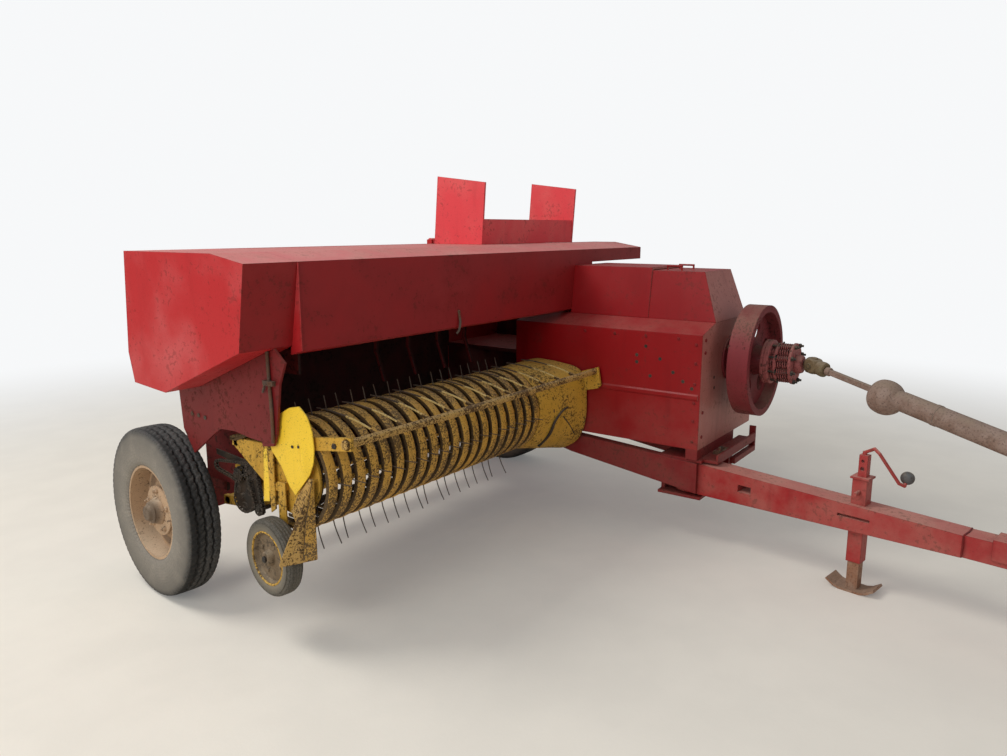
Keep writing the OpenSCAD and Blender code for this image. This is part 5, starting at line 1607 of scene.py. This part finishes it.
    def frame(self, shop: Workshop) -> None:
        """End plates, rail, cross tubes, pivot arms and the guard's brackets, in place of the plain frame.

        Args:
            shop: makes and dresses the pieces.
        """
        y, z, right, left = self.axis_y, self.axis_z, self.right_x, self.left_x
        gy, gz = self.guard_y, self.guard_z
        low_y, low_z, pivot_y, pivot_z = y + 0.300, z - 0.205, 0.600, 0.420
        a = np.radians(np.linspace(40, 325, 60))
        disc = np.stack([y + 0.150 * np.cos(a), z + 0.150 * np.sin(a)], -1)
        near = holed(
            np.vstack([disc, [(self.rail_y + 0.02, z + 0.055), (self.rail_y + 0.026, z + 0.088)]]),
            (y, z, 0.0185), right, right + 0.012, count=140,
        )
        rear = [(self.rail_y + 0.032, z + 0.056), (low_y + 0.018, low_z), (low_y, low_z - 0.018)]
        far = holed(np.vstack([self.drum_outline(), rear]), (y, z, 0.0185), left, left + 0.012, count=160)
        rail = box_shell((right, self.rail_y, z + 0.056), (left + 0.001, self.rail_y + 0.032, z + 0.088))
        arm = [
            (low_y - 0.008, low_z + 0.016), (low_y + 0.030, low_z + 0.016),
            (pivot_y + 0.024, pivot_z + 0.018), (pivot_y + 0.024, pivot_z - 0.022),
            (low_y - 0.008, low_z - 0.016),
        ]
        tubes = [
            bar((-1.174, low_y, low_z), (left + 0.012, low_y, low_z), 0.018, 20),
            bar((-1.174, pivot_y, pivot_z), (left + 0.012, pivot_y, pivot_z), 0.020, 20),
        ]
        arms = [plate(arm, x, x + 0.020) for x in (-1.174, left - 0.008)]
        shop.piece(
            "pickup_frame_plates", [near, far, rail, *tubes, *arms], Coat.DRUM_YELLOW, "pickup",
            ["pickup_frame"], bevel=0.001,
        )
        tab = holed(
            [
                (gy - 0.024, gz - 0.020), (gy - 0.024, gz + 0.028), (y - 0.110, gz - 0.004),
                (y - 0.110, gz - 0.052),
            ],
            (gy, gz, 0.0195), right - 0.012, right, count=100,
        )
        root = plate(
            [
                (y - 0.110, gz - 0.004), (y - 0.060, gz - 0.034), (y - 0.040, z + 0.060),
                (y - 0.110, gz - 0.052),
            ],
            right - 0.012, right,
        )
        ear = holed(
            [
                (gy + 0.075, gz - 0.006), (gy - 0.020, gz + 0.024), (gy - 0.037, gz - 0.068),
                (gy - 0.021, gz - 0.086), (gy + 0.075, gz - 0.110),
            ],
            (gy, gz, 0.0165), left, left + 0.012, count=100,
        )
        shop.piece("guard_brackets", [tab, root, ear], Coat.DRUM_YELLOW, "pickup", bevel=0.001)

    def rear_strip(self) -> Shell:
        """The strip that joins the bands at the rear."""
        return box_shell(
            (self.first_x, self.rail_y + 0.004, self.axis_z + 0.086),
            (self.left_x, self.rail_y + 0.032, self.axis_z + 0.0935),
        )

    def fittings(self, shop: Workshop) -> None:
        """A bolt on the guard's bracket, a thin dark disc of painted shade for the drum's hole, and its bent
        rod and tie.

        Args:
            shop: makes and dresses the pieces.
        """
        bolts = heads(
            [(self.right_x - 0.012, self.guard_y + 0.058, self.guard_z - 0.014)], (-1, 0, 0), 0.011, 0.008,
        )
        # painted shade: a thin dark disc for the drum's hole
        hole = heads([(0.190, self.axis_y - 0.2225, self.axis_z - 0.004)], (0, -1, 0), 0.010, 0.001)
        line = smooth_path(
            [
                (0.190, -0.049, 0.447), (0.184, -0.118, 0.52), (0.190, -0.144, 0.585), (0.235, -0.155, 0.628),
                (0.280, -0.162, 0.645),
            ],
            24,
        )
        rod = tube(line, np.linspace(0.009, 0.004, 24), 8, (1, 0, 0))
        tie = tube(
            smooth_path([(0.255, -0.153, 0.600), (0.32, -0.150, 0.545), (0.379, -0.144, 0.485)], 16), 0.0028,
            6, (1, 0, 0),
        )
        shop.piece("pickup_bolts", [bolts, hole, rod, tie], Coat.GREASY, "pickup")


# ---------------------------------------------------------------- pickup drive


@dataclass
class PickupDrive:
    """Sprockets with toothed rims and oval windows, the arms that hold them and their roller chains."""

    plate_x: float = -1.174
    pivot: tuple[float, float] = (0.600, 0.420)
    # along and up from the pivot, radius, teeth, distance from the plate
    wheels: tuple[tuple[float, float, float, int, float], ...] = (
        (-0.163, 0.062, 0.070, 28, 0.022),
        (-0.248, 0.182, 0.034, 14, 0.042),
        (-0.153, 0.152, 0.030, 12, 0.042),
    )

    def sprocket(self, radius: float, teeth: int, windows: int) -> Shell:
        """A sprocket: the rim's radius rises and falls with the teeth, and windows are laid on the web.

        Args:
            radius: over the teeth.
            teeth: number of teeth.
            windows: number of windows, or 0.

        Returns:
            The sprocket about the origin.
        """
        count = teeth * 6
        angle = np.arange(count) * TAU / count
        rim = radius - 0.0035 + 0.0035 * np.clip(np.cos(angle * teeth) * 1.6, -1, 1)
        rows = []
        for share, half in (
            (rim, 0.0025), (rim - 0.012, 0.005), (0 * rim + radius * 0.30, 0.005), (0 * rim + 0.012, 0.008),
        ):
            rows.append(np.stack([0 * angle + half, share * np.cos(angle), share * np.sin(angle)], -1))
        back = [row * (-1, 1, 1) for row in rows[::-1]]
        body = lattice(np.stack(rows + back), True, True)
        if not windows:
            return body
        place = np.arange(windows) * TAU / windows + 0.5
        oval = turned(
            [(0, 0), (0, 1), (0.4, 1.12), (0.8, 1.0), (0.8, 0.82), (0.2, 0.78), (0.2, 0.0)], 20, False,
        )
        scale = np.diag([0.004, 0.011, 0.017])
        oval = Shell(oval.points @ scale, oval.faces)
        ovals = [
            oval.moved(
                turn((1, 0, 0), math.degrees(a)) @ turn((0, 0, 1), 180),
                (-0.0045, radius * 0.56 * math.cos(a), radius * 0.56 * math.sin(a)),
            )
            for a in place
        ]
        return joined([body, *ovals])

    def chain(self, path: Array, link: float = 0.019) -> Shell:
        """A roller chain: pairs of waisted side plates laid along even steps of the path.

        Args:
            path: (n, 3) points.
            link: the pitch.

        Returns:
            All links as one surface.
        """
        total = float(np.sum(np.linalg.norm(np.diff(path, axis=0), axis=1)))
        count = int(total / link)
        line = even_path(path, count + 1)
        middle, ahead = (line[1:] + line[:-1]) / 2, np.diff(line, axis=0)
        ahead /= np.linalg.norm(ahead, axis=1, keepdims=True)
        side = np.broadcast_to([1.0, 0, 0], ahead.shape)
        basis = np.stack([side, ahead, np.cross(side, ahead)], -1)
        t = np.linspace(0, TAU, 13)[:-1]
        outline = np.stack([0.0115 * np.cos(t), 0.0062 * np.sin(t) * (0.8 + 0.2 * np.abs(np.cos(t)))], -1)
        plates = [plate(outline, a, a + 0.0022) for a in (-0.0075, 0.0053)]
        roller = bar((-0.009, 0, 0), (0.009, 0, 0), 0.0042, 6)
        return repeated(joined([*plates, roller]), basis, middle)

    def loop(self, spots: Sequence[tuple[float, float, float]], x: float) -> Array:
        """A closed path round wheels: points on each wheel's circle that look away from the wheels' middle.

        Args:
            spots: each wheel's Y, Z and radius.
            x: where the loop lies along X.

        Returns:
            (n, 3) points.
        """
        middle = np.mean([s[:2] for s in spots], 0)
        points = []
        for y, z, r in spots:
            away = math.atan2(z - middle[1], y - middle[0])
            a = away + np.linspace(-1.25, 1.25, 14)
            points.append(np.stack([0 * a + x, y + r * np.cos(a), z + r * np.sin(a)], -1))
        path = np.vstack(points)
        return np.vstack([path, path[:1]])

    def build(self, shop: Workshop) -> None:
        """Makes the drive in place of its node, keeping the plate's outline.

        Args:
            shop: makes and dresses the pieces.
        """
        y0, z0 = self.pivot
        outline = [
            (-0.190, 0.044), (-0.232, 0.060), (-0.286, 0.200), (-0.180, 0.226), (-0.084, 0.170),
            (-0.084, 0.030), (-0.150, -0.006),
        ]
        base = plate([(y0 + a, z0 + b) for a, b in outline], self.plate_x - 0.012, self.plate_x)
        shop.piece("drive_plate", [base], Coat.DRUM_YELLOW, "pickup", ["pickup_drive"], bevel=0.002)
        shells = []
        for dy, dz, r, teeth, off in self.wheels:
            x = self.plate_x - off - 0.006
            shells.append(self.sprocket(r, teeth, 3 if r > 0.05 else 0).at(x, y0 + dy, z0 + dz))
            shells.append(
                bar((x - 0.012, y0 + dy, z0 + dz), (self.plate_x - 0.011, y0 + dy, z0 + dz), 0.0118, 16)
            )
            shells.append(heads([(x - 0.012, y0 + dy, z0 + dz)], (-1, 0, 0), 0.011, 0.007))
        shop.piece("drive_sprockets", shells, Coat.GREASY, "pickup")
        low = (0.318, 0.455)
        down = plate(
            [(0.300, 0.440), (0.338, 0.440), (0.416, 0.600), (0.384, 0.626), (0.332, 0.610)],
            self.plate_x - 0.041, self.plate_x - 0.036,
        )
        back = plate(
            [(0.345, 0.632), (0.345, 0.604), (0.470, 0.612), (0.592, 0.630), (0.592, 0.652), (0.470, 0.642)],
            self.plate_x - 0.041, self.plate_x - 0.036,
        )
        foot = [
            self.sprocket(0.024, 10, 0).at(self.plate_x - 0.050, *low),
            bar((self.plate_x - 0.060, *low), (self.plate_x - 0.002, *low), 0.009, 12),
        ]
        shop.piece("drive_arms", [down, back, *foot], Coat.GREASY, "pickup", bevel=0.001)
        near = [(y0 + w[0], z0 + w[1], w[2] - 0.002) for w in self.wheels]
        x = self.plate_x - 0.048
        spots = [near[1], near[2], (y0 - 0.030, z0 + 0.170, 0.020)]
        shop.piece(
            "drive_chains",
            [
                self.chain(self.loop(near[:1] + near[2:], self.plate_x - 0.030)),
                self.chain(self.loop(spots, x), 0.016),
                self.chain(self.loop([(*low, 0.022), near[1]], self.plate_x - 0.050), 0.016),
            ],
            Coat.GREASY, "pickup",
        )


# ---------------------------------------------------------------- flywheel and driveline


@dataclass
class SlipClutch:
    """Slip clutch on the flywheel's front: discs, lugs, a ring of coil springs on bolts and the hub."""

    x: float = 0.830
    z: float = 0.885
    face_y: float = -0.965

    def build(self, shop: Workshop) -> None:
        """Makes the clutch in place of its node.

        Args:
            shop: makes and dresses the pieces.
        """
        basis = turn((0, 0, 1), -90)
        at = (self.x, self.face_y, self.z)
        disc = turned(
            [
                (0, 0.0), (0, 0.104), (0.003, 0.108), (0.012, 0.108), (0.014, 0.104), (0.016, 0.104),
                (0.018, 0.108), (0.035, 0.108), (0.038, 0.104), (0.038, 0.0),
            ],
            64, False,
        )
        front = turned(
            [(0.130, 0.037), (0.130, 0.097), (0.133, 0.100), (0.142, 0.100), (0.145, 0.097), (0.145, 0.037)],
            64,
        )
        middle = turned(
            [(0.060, 0.037), (0.060, 0.093), (0.063, 0.096), (0.070, 0.096), (0.073, 0.093), (0.073, 0.037)],
            64,
        )
        hub = turned(
            [
                (0, 0), (0, 0.038), (0.140, 0.038), (0.1480, 0.045), (0.168, 0.045), (0.1797, 0.040),
                (0.1797, 0.0),
            ],
            40, False,
        )
        lug = box_shell((0.002, 0.100, -0.010), (0.036, 0.1075, 0.010))
        lugs = [lug.about_x(a + 8) for a in range(0, 360, 30)]
        discs = placed([disc, middle, front, hub, *lugs], basis, at)
        shop.piece("clutch_discs", discs, Coat.CLUTCH, "flywheel_set", ["slip_clutch"], bevel=0.001)
        spring = coil(0.0115, 0.0030, 0.058, 6, 7, 14).at(0.0725, 0, 0)
        stud = bar((0.030, 0, 0), (0.166, 0, 0), 0.0055, 10)
        nut = hex_head(0.0115, 0.011).at(0.1445, 0, 0)
        washer = turned(hoop(0.070, 0.0735, 0.0, 0.0145), 16, False)
        core = turned(hoop(0.030, 0.141, 0, 0.063), 40, False)
        inner_spring = coil(0.0125, 0.0032, 0.090, 8, 7, 14).at(0.039, 0, 0)
        ring = np.arange(8) * 45.0
        place = turn((1, 0, 0), ring)
        springs = repeated(inner_spring, place, place @ np.array([0, 0.078, 0]))
        outer = turn((1, 0, 0), ring + 22.5)
        bolts = repeated(joined([stud, nut, washer]), outer, outer @ np.array([0, 0.091, 0]))
        outer_springs = repeated(spring, outer, outer @ np.array([0, 0.0835, 0]))
        shop.piece(
            "clutch_springs", placed((springs, outer_springs, core), basis, at), Coat.CLUTCH, "flywheel_set",
        )
        shop.piece("clutch_bolts", [bolts.moved(basis, at)], Coat.GREASY, "flywheel_set")


@dataclass
class Driveline:
    """Universal joint, square inner bar, bell guard, guard tube and front yoke."""

    origin: Point = (0.830, -1.191, 0.885)
    yaw: float = -26.0
    fall: float = 10.0
    length: float = 1.640
    tube_r: float = 0.043
    ball_r: float = 0.046
    bell: float = 0.330
    bell_drop: float = 0.011

    def basis(self) -> Array:
        """Axes of the driveline: local X runs down the driveline."""
        return turn((0, 0, 1), self.yaw) @ turn((1, 0, 0), self.fall) @ turn((0, 0, 1), -90)

    def joint(self) -> list[Shell]:
        """The ball of the yokes cut flat on four sides, the cross through it, two clips and the neck.

        Returns:
            The joint's surfaces about the origin.
        """
        r, flat = self.ball_r, self.ball_r * 0.74
        t, a = np.meshgrid(np.linspace(0, math.pi, 25), np.arange(48) * TAU / 48, indexing="ij")
        ball = np.stack([r * np.cos(t), r * np.sin(t) * np.cos(a), r * np.sin(t) * np.sin(a)], -1)
        ball[..., 1:] = np.clip(ball[..., 1:], -flat, flat)
        cross = [
            bar((0, -flat - 0.006, 0), (0, flat + 0.006, 0), 0.013, 20),
            bar((0, 0, -flat - 0.006), (0, 0, flat + 0.006), 0.013, 20),
        ]
        clip = turned(hoop(0, 0.002, 0.008, 0.0125), 20)
        clips = [clip.moved(turn((0, 0, 1), s * 90), (0, s * (flat + 0.004), 0)) for s in (1, -1)]
        neck = turned(
            [
                (0.020, 0.0), (0.020, 0.030), (0.034, 0.034), (0.060, 0.036), (0.070, 0.034), (0.075, 0.028),
                (0.075, 0.0),
            ],
            32, False,
        )
        return [lattice(ball, False, True), *cross, *clips, neck]

    def build(self, shop: Workshop) -> None:
        """Makes the joint and the driveline in place of their nodes.

        Args:
            shop: makes and dresses the pieces.
        """
        basis, at = self.basis(), self.origin
        joint = placed(self.joint(), basis, at)
        shop.piece("universal_joint", joint, Coat.JOINT, "driveline", ["driveline_joint"])
        r, b, half = self.tube_r, self.bell, 0.0125
        inner = box_shell((0.070, -half, -half), (b + 0.012, half, half))
        collar = turned(
            [(0.076, 0.0), (0.076, 0.019), (0.098, 0.021), (0.102, 0.018), (0.102, 0.0)], 24, False,
        )
        shop.piece("inner_bar", placed((inner, collar), basis, at), Coat.SHAFT, "driveline", bevel=0.003)
        outline = smooth_path(
            [
                (0, 0.030), (0.010, 0.047), (0.022, 0.062), (0.040, 0.0725), (0.070, 0.0768), (0.098, 0.0725),
                (0.118, 0.062), (0.132, 0.051), (0.142, r + 0.002),
            ],
            60,
        )
        end, tail = self.length, self.length - b - 0.130
        tube_end = [(0.150, r + 0.0005), (self.length - b - 0.132, r), (tail, r - 0.004), (tail, 0.0)]
        profile = np.vstack([[(0.012, 0.0), (0.012, 0.022)], outline, tube_end])
        guard = turned(profile + (b, 0), 56, False)
        guard.points[:, 2] -= self.bell_drop * np.clip((b + 0.150 - guard.points[:, 0]) / 0.020, 0, 1)
        band = turned(hoop(b + 0.300, b + 0.318, r, r + 0.0025), 40)
        guard_shells = placed((guard, band), basis, at)
        shop.piece("driveline_guard", guard_shells, Coat.SHAFT, "driveline", ["driveline_tube"], sharp=30)
        yoke = turned(
            [
                (end - 0.140, 0.0), (end - 0.140, 0.026), (end - 0.100, 0.029), (end - 0.012, 0.029),
                (end - 0.008, 0.026), (end, 0.026), (end, 0.0176), (end - 0.076, 0.0176), (end - 0.076, 0.0),
            ],
            40, False,
        )
        spline = box_shell((end - 0.070, 0.0155, -0.0022), (end - 0.004, 0.018, 0.0022))
        splines = [spline.about_x(a) for a in range(0, 360, 60)]
        latch = bar((end - 0.045, 0.0, 0.024), (end - 0.045, 0.0, 0.0295), 0.006, 12)
        shop.piece("front_yoke", placed([yoke, latch, *splines], basis, at), Coat.IRON, "driveline")


# ---------------------------------------------------------------- housings


@dataclass
class Housing:
    """Crank housing, its covers, the feeder and its end cap: bolts, a dark disc of painted shade for each
    hole, rods and folded lips.
    """

    panel_x: float = 0.4615
    front_y: float = -0.780
    side_x: float = -1.299

    def panel_fittings(self) -> list[Shell]:
        """Bolt heads along the right panel's front and top edges and along the front plate.

        Returns:
            The bolt heads.
        """
        up = [(self.panel_x, self.front_y + 0.030, z) for z in (0.52, 0.62, 0.71, 0.80, 0.90, 0.99)]
        over = [(self.panel_x, y, 1.012) for y in np.arange(-0.66, 0.02, 0.17)]
        plate_bolts = [(x, self.front_y, z) for x in (0.500, 1.160) for z in (0.54, 0.66, 0.95, 1.01)]
        return [heads(up + over, (-1, 0, 0), 0.008, 0.005), heads(plate_bolts, (0, -1, 0), 0.009, 0.006)]

    def hole_shades(self) -> list[Shell]:
        """Painted shade for each round hole of the pressed panel and of the front plate.

        Returns:
            A thin dark disc for each hole.
        """
        side = [
            (-0.492, 0.962), (-0.445, 0.915), (-0.569, 0.906), (-0.446, 0.880), (-0.520, 0.817),
            (-0.639, 0.847), (-0.691, 0.808), (-0.737, 0.778),
        ]
        # painted shade: a thin dark disc where each hole is
        dark = turned(hoop(0, 0.0012, 0, 0.0085), 16, False)
        flip = turn((0, 0, 1), 180)
        ahead = turn((0, 0, 1), -90)
        shells = [dark.moved(flip, (self.panel_x + 0.0002, y, z)) for y, z in side]
        shells += [
            dark.moved(ahead, (x, self.front_y + 0.0002, z))
            for x, z in ((0.631, 0.812), (0.638, 0.760))
        ]
        return shells

    def flange_bolts(self) -> Shell:
        """Four bolts of the flange bearing.

        Returns:
            The bolt heads.
        """
        a = np.radians([45, 135, 225, 315])
        places = np.stack(
            [0.830 + 0.086 * np.cos(a), 0 * a + self.front_y - 0.012, 0.885 + 0.086 * np.sin(a)], -1,
        )
        return heads(places, (0, -1, 0), 0.012, 0.010)

    def side_rod(self) -> list[Shell]:
        """The brown rod and its clip on the side sheet under the end cap.

        Returns:
            The rod, its clip and the bolts.
        """
        x = self.side_x - 0.006
        rod = tube(
            smooth_path(
                [
                    (x, 0.112, 1.105), (x, 0.108, 0.99), (x - 0.002, 0.102, 0.90), (x, 0.104, 0.80),
                    (x, 0.106, 0.775),
                ],
                24,
            ),
            0.0065, 10, (1, 0, 0),
        )
        clip = box_shell((x - 0.010, 0.080, 0.985), (x + 0.005, 0.134, 1.001))
        arm = bar((x - 0.004, 0.128, 0.990), (x - 0.002, 0.146, 0.955), 0.004, 8)
        bolts = heads(
            [(self.side_x, y, z) for y, z in ((0.605, 0.812), (0.562, 0.811), (0.520, 0.808))], (-1, 0, 0),
            0.009, 0.006,
        )
        return [rod, clip, arm, bolts]

    def build(self, shop: Workshop) -> None:
        """Dresses the housings and adds their fittings.

        Args:
            shop: makes and dresses the pieces.
        """
        shop.dress(Coat.RED, "twine_box", "twine_lid", "bale_chute", "feeder_drive")
        shop.dress(Coat.CASE_RED, "bale_case")
        shop.dress(Coat.KNOTTER_LIT_RED, "knotter_cover")
        shop.dress(Coat.PANEL_SHADE_RED, "front_housing", "crank_lid", "crank_cover")
        rib = plate([(0.0306, 1.408), (0.086, 1.120), (0.0915, 1.086), (0.0306, 1.102)], -1.2185, -1.2160)
        lip = tube(
            [(-1.2165, 0.0292, 1.412), (-1.2165, 0.0290, 1.26), (-1.2165, 0.0292, 1.103)], 0.0035, 8,
            (1, 0, 0),
        )
        hook = tube(
            smooth_path(
                [
                    (-0.342, 0.029, 1.160), (-0.344, 0.020, 1.125), (-0.352, 0.020, 1.090),
                    (-0.357, 0.030, 1.072),
                ],
                20,
            ),
            0.0055, 8, (1, 0, 0),
        )
        shop.piece("feeder_hook", [hook, heads([(-0.342, 0.030, 1.166)], (0, -1, 0))], Coat.IRON, "chassis")
        shop.piece("feeder_joint_rib", [rib, lip], Coat.SIDE_RED, "chassis")
        shop.dress(Coat.SIDE_RED, "feeder_housing", "feeder_end_cap")
        shop.dress(Coat.SHADE_RED, "feed_shield")
        # the feeder's inside takes the dark coat: partly worn steel, partly painted shade
        shop.dress(Coat.DARK_INSIDE, "feeder_floor", "feeder_side")
        shop.piece("panel_hole_shades", self.hole_shades(), Coat.GREASY, "chassis")
        shop.piece("panel_bolts", self.panel_fittings(), Coat.FRAME_RED, "chassis")
        shop.piece("bearing_bolts", [self.flange_bolts()], Coat.IRON, "chassis")
        shop.piece("side_rod", self.side_rod(), Coat.IRON, "chassis")
        shop.dress(Coat.MAROON, "bearing_housing", "flywheel")


# ---------------------------------------------------------------- tongue and jack


@dataclass
class Tongue:
    """Tongue with its latch, seams and jack fittings."""

    pivot: Point = (0.560, -0.700, 0.331)
    yaw: float = -9.5
    jack_at: float = 0.835
    ball_r: float = 0.0275
    ball_at: Point = (0.076, -0.150, 0.514)

    def place(self) -> tuple[Array, Point]:
        """Axes of the tongue: local -Y runs to the hitch."""
        return turn((0, 0, 1), self.yaw), (self.pivot[0], self.pivot[1], 0.0)

    def latch(self) -> list[Shell]:
        """Latch pin lying across the rack, its spring, its two lugs and its bent end.

        Returns:
            The latch's surfaces.
        """
        y, z = -0.842, 0.435
        pin = bar((0.600, y, z), (0.735, y, z), 0.0075, 14)
        spring = coil(0.0125, 0.0026, 0.060, 7, 6, 12).at(0.640, y, z)
        lugs = [
            box_shell((x, y - 0.016, z - 0.017), (x + 0.006, y + 0.042, z + 0.014))
            for x in (0.618, 0.708)
        ]
        handle = tube(
            smooth_path(
                [
                    (0.605, y, z), (0.592, y, z + 0.004), (0.586, y - 0.002, z + 0.020),
                    (0.586, y - 0.002, z + 0.045),
                ],
                20,
            ),
            0.006, 8, (0, 1, 0),
        )
        return [pin, spring, *lugs, handle]

    def build(self, shop: Workshop) -> None:
        """Dresses the tongue and jack and adds their fittings.

        Args:
            shop: makes and dresses the pieces.
        """
        basis, at = self.place()
        shop.dress(Coat.TONGUE_RED, "tongue_beam", "hitch_clevis", "driveline_stand", "jack_tube")
        shop.dress(Coat.FRAME_RED, "main_frame", "axle", "tension_bars", "knotter_frame")
        shop.dress(Coat.FOOT, "jack_leg")
        shop.piece("latch_pin", self.latch(), Coat.IRON, "chassis")
        z = self.pivot[2]
        seam = [
            tube(
                [(s * 0.055, -1.240, z + 0.044), (s * 0.057, -1.243, z), (s * 0.055, -1.240, z - 0.044)],
                0.004, 6, (0, 1, 0),
            )
            for s in (-1, 1)
        ]
        top = tube([(-0.05, -1.243, 0.3765), (0.0, -1.246, 0.3775), (0.05, -1.243, 0.3765)], 0.004, 6)
        shop.piece("tongue_seams", placed([*seam, top], basis, at), Coat.FRAME_RED, "tongue")
        jack = (self.pivot[0] + basis[0, 1] * -self.jack_at, self.pivot[1] + basis[1, 1] * -self.jack_at, 0.0)
        a = np.linspace(0, math.pi, 24)
        ball = turned(self.ball_r * np.stack([-np.cos(a), np.sin(a)], -1), 32, False)
        shop.piece("crank_ball", [ball.at(*self.ball_at).moved(basis, jack)], Coat.KNOB, "tongue")


# ---------------------------------------------------------------- works


@dataclass
class Works:
    """Knotters, needles, gearbox, plunger and the other working parts, by finish."""

    iron: tuple[str, ...] = ("gearbox", "needle_yoke", "metering_wheel", "knotter_shaft", "plunger")
    # the feeder's carriage takes the dark inside coat, partly painted shade
    inside: tuple[str, ...] = ("feeder_carriage",)

    def build(self, shop: Workshop) -> None:
        """Dresses the working parts."""
        shop.dress(Coat.IRON, *self.iron)
        shop.dress(Coat.DARK_INSIDE, *self.inside)


def main() -> None:
    """Builds the studio and every sub-assembly in order."""
    logging.basicConfig(level=logging.INFO, format="%(message)s")
    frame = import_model()
    shop = Workshop(frame)
    Studio().build()
    parts: list[Assembly] = [
        RoadWheel("tyre_right", "wheel_right", Coat.TYRE_RIGHT, (-1.3, 0.868, 0.36), 0.150, 6.0, -1),
        RoadWheel("tyre_left", "wheel_left", Coat.TYRE_LEFT, (1.18, 0.868, 0.36), 0.220, 0.0, 1),
        Pickup(),
        PickupDrive(),
        SlipClutch(),
        Driveline(),
        Housing(),
        Tongue(),
        Works(),
    ]
    for part in parts:
        LOG.info("building %s", type(part).__name__)
        part.build(shop)


if __name__ == "__main__":
    main()
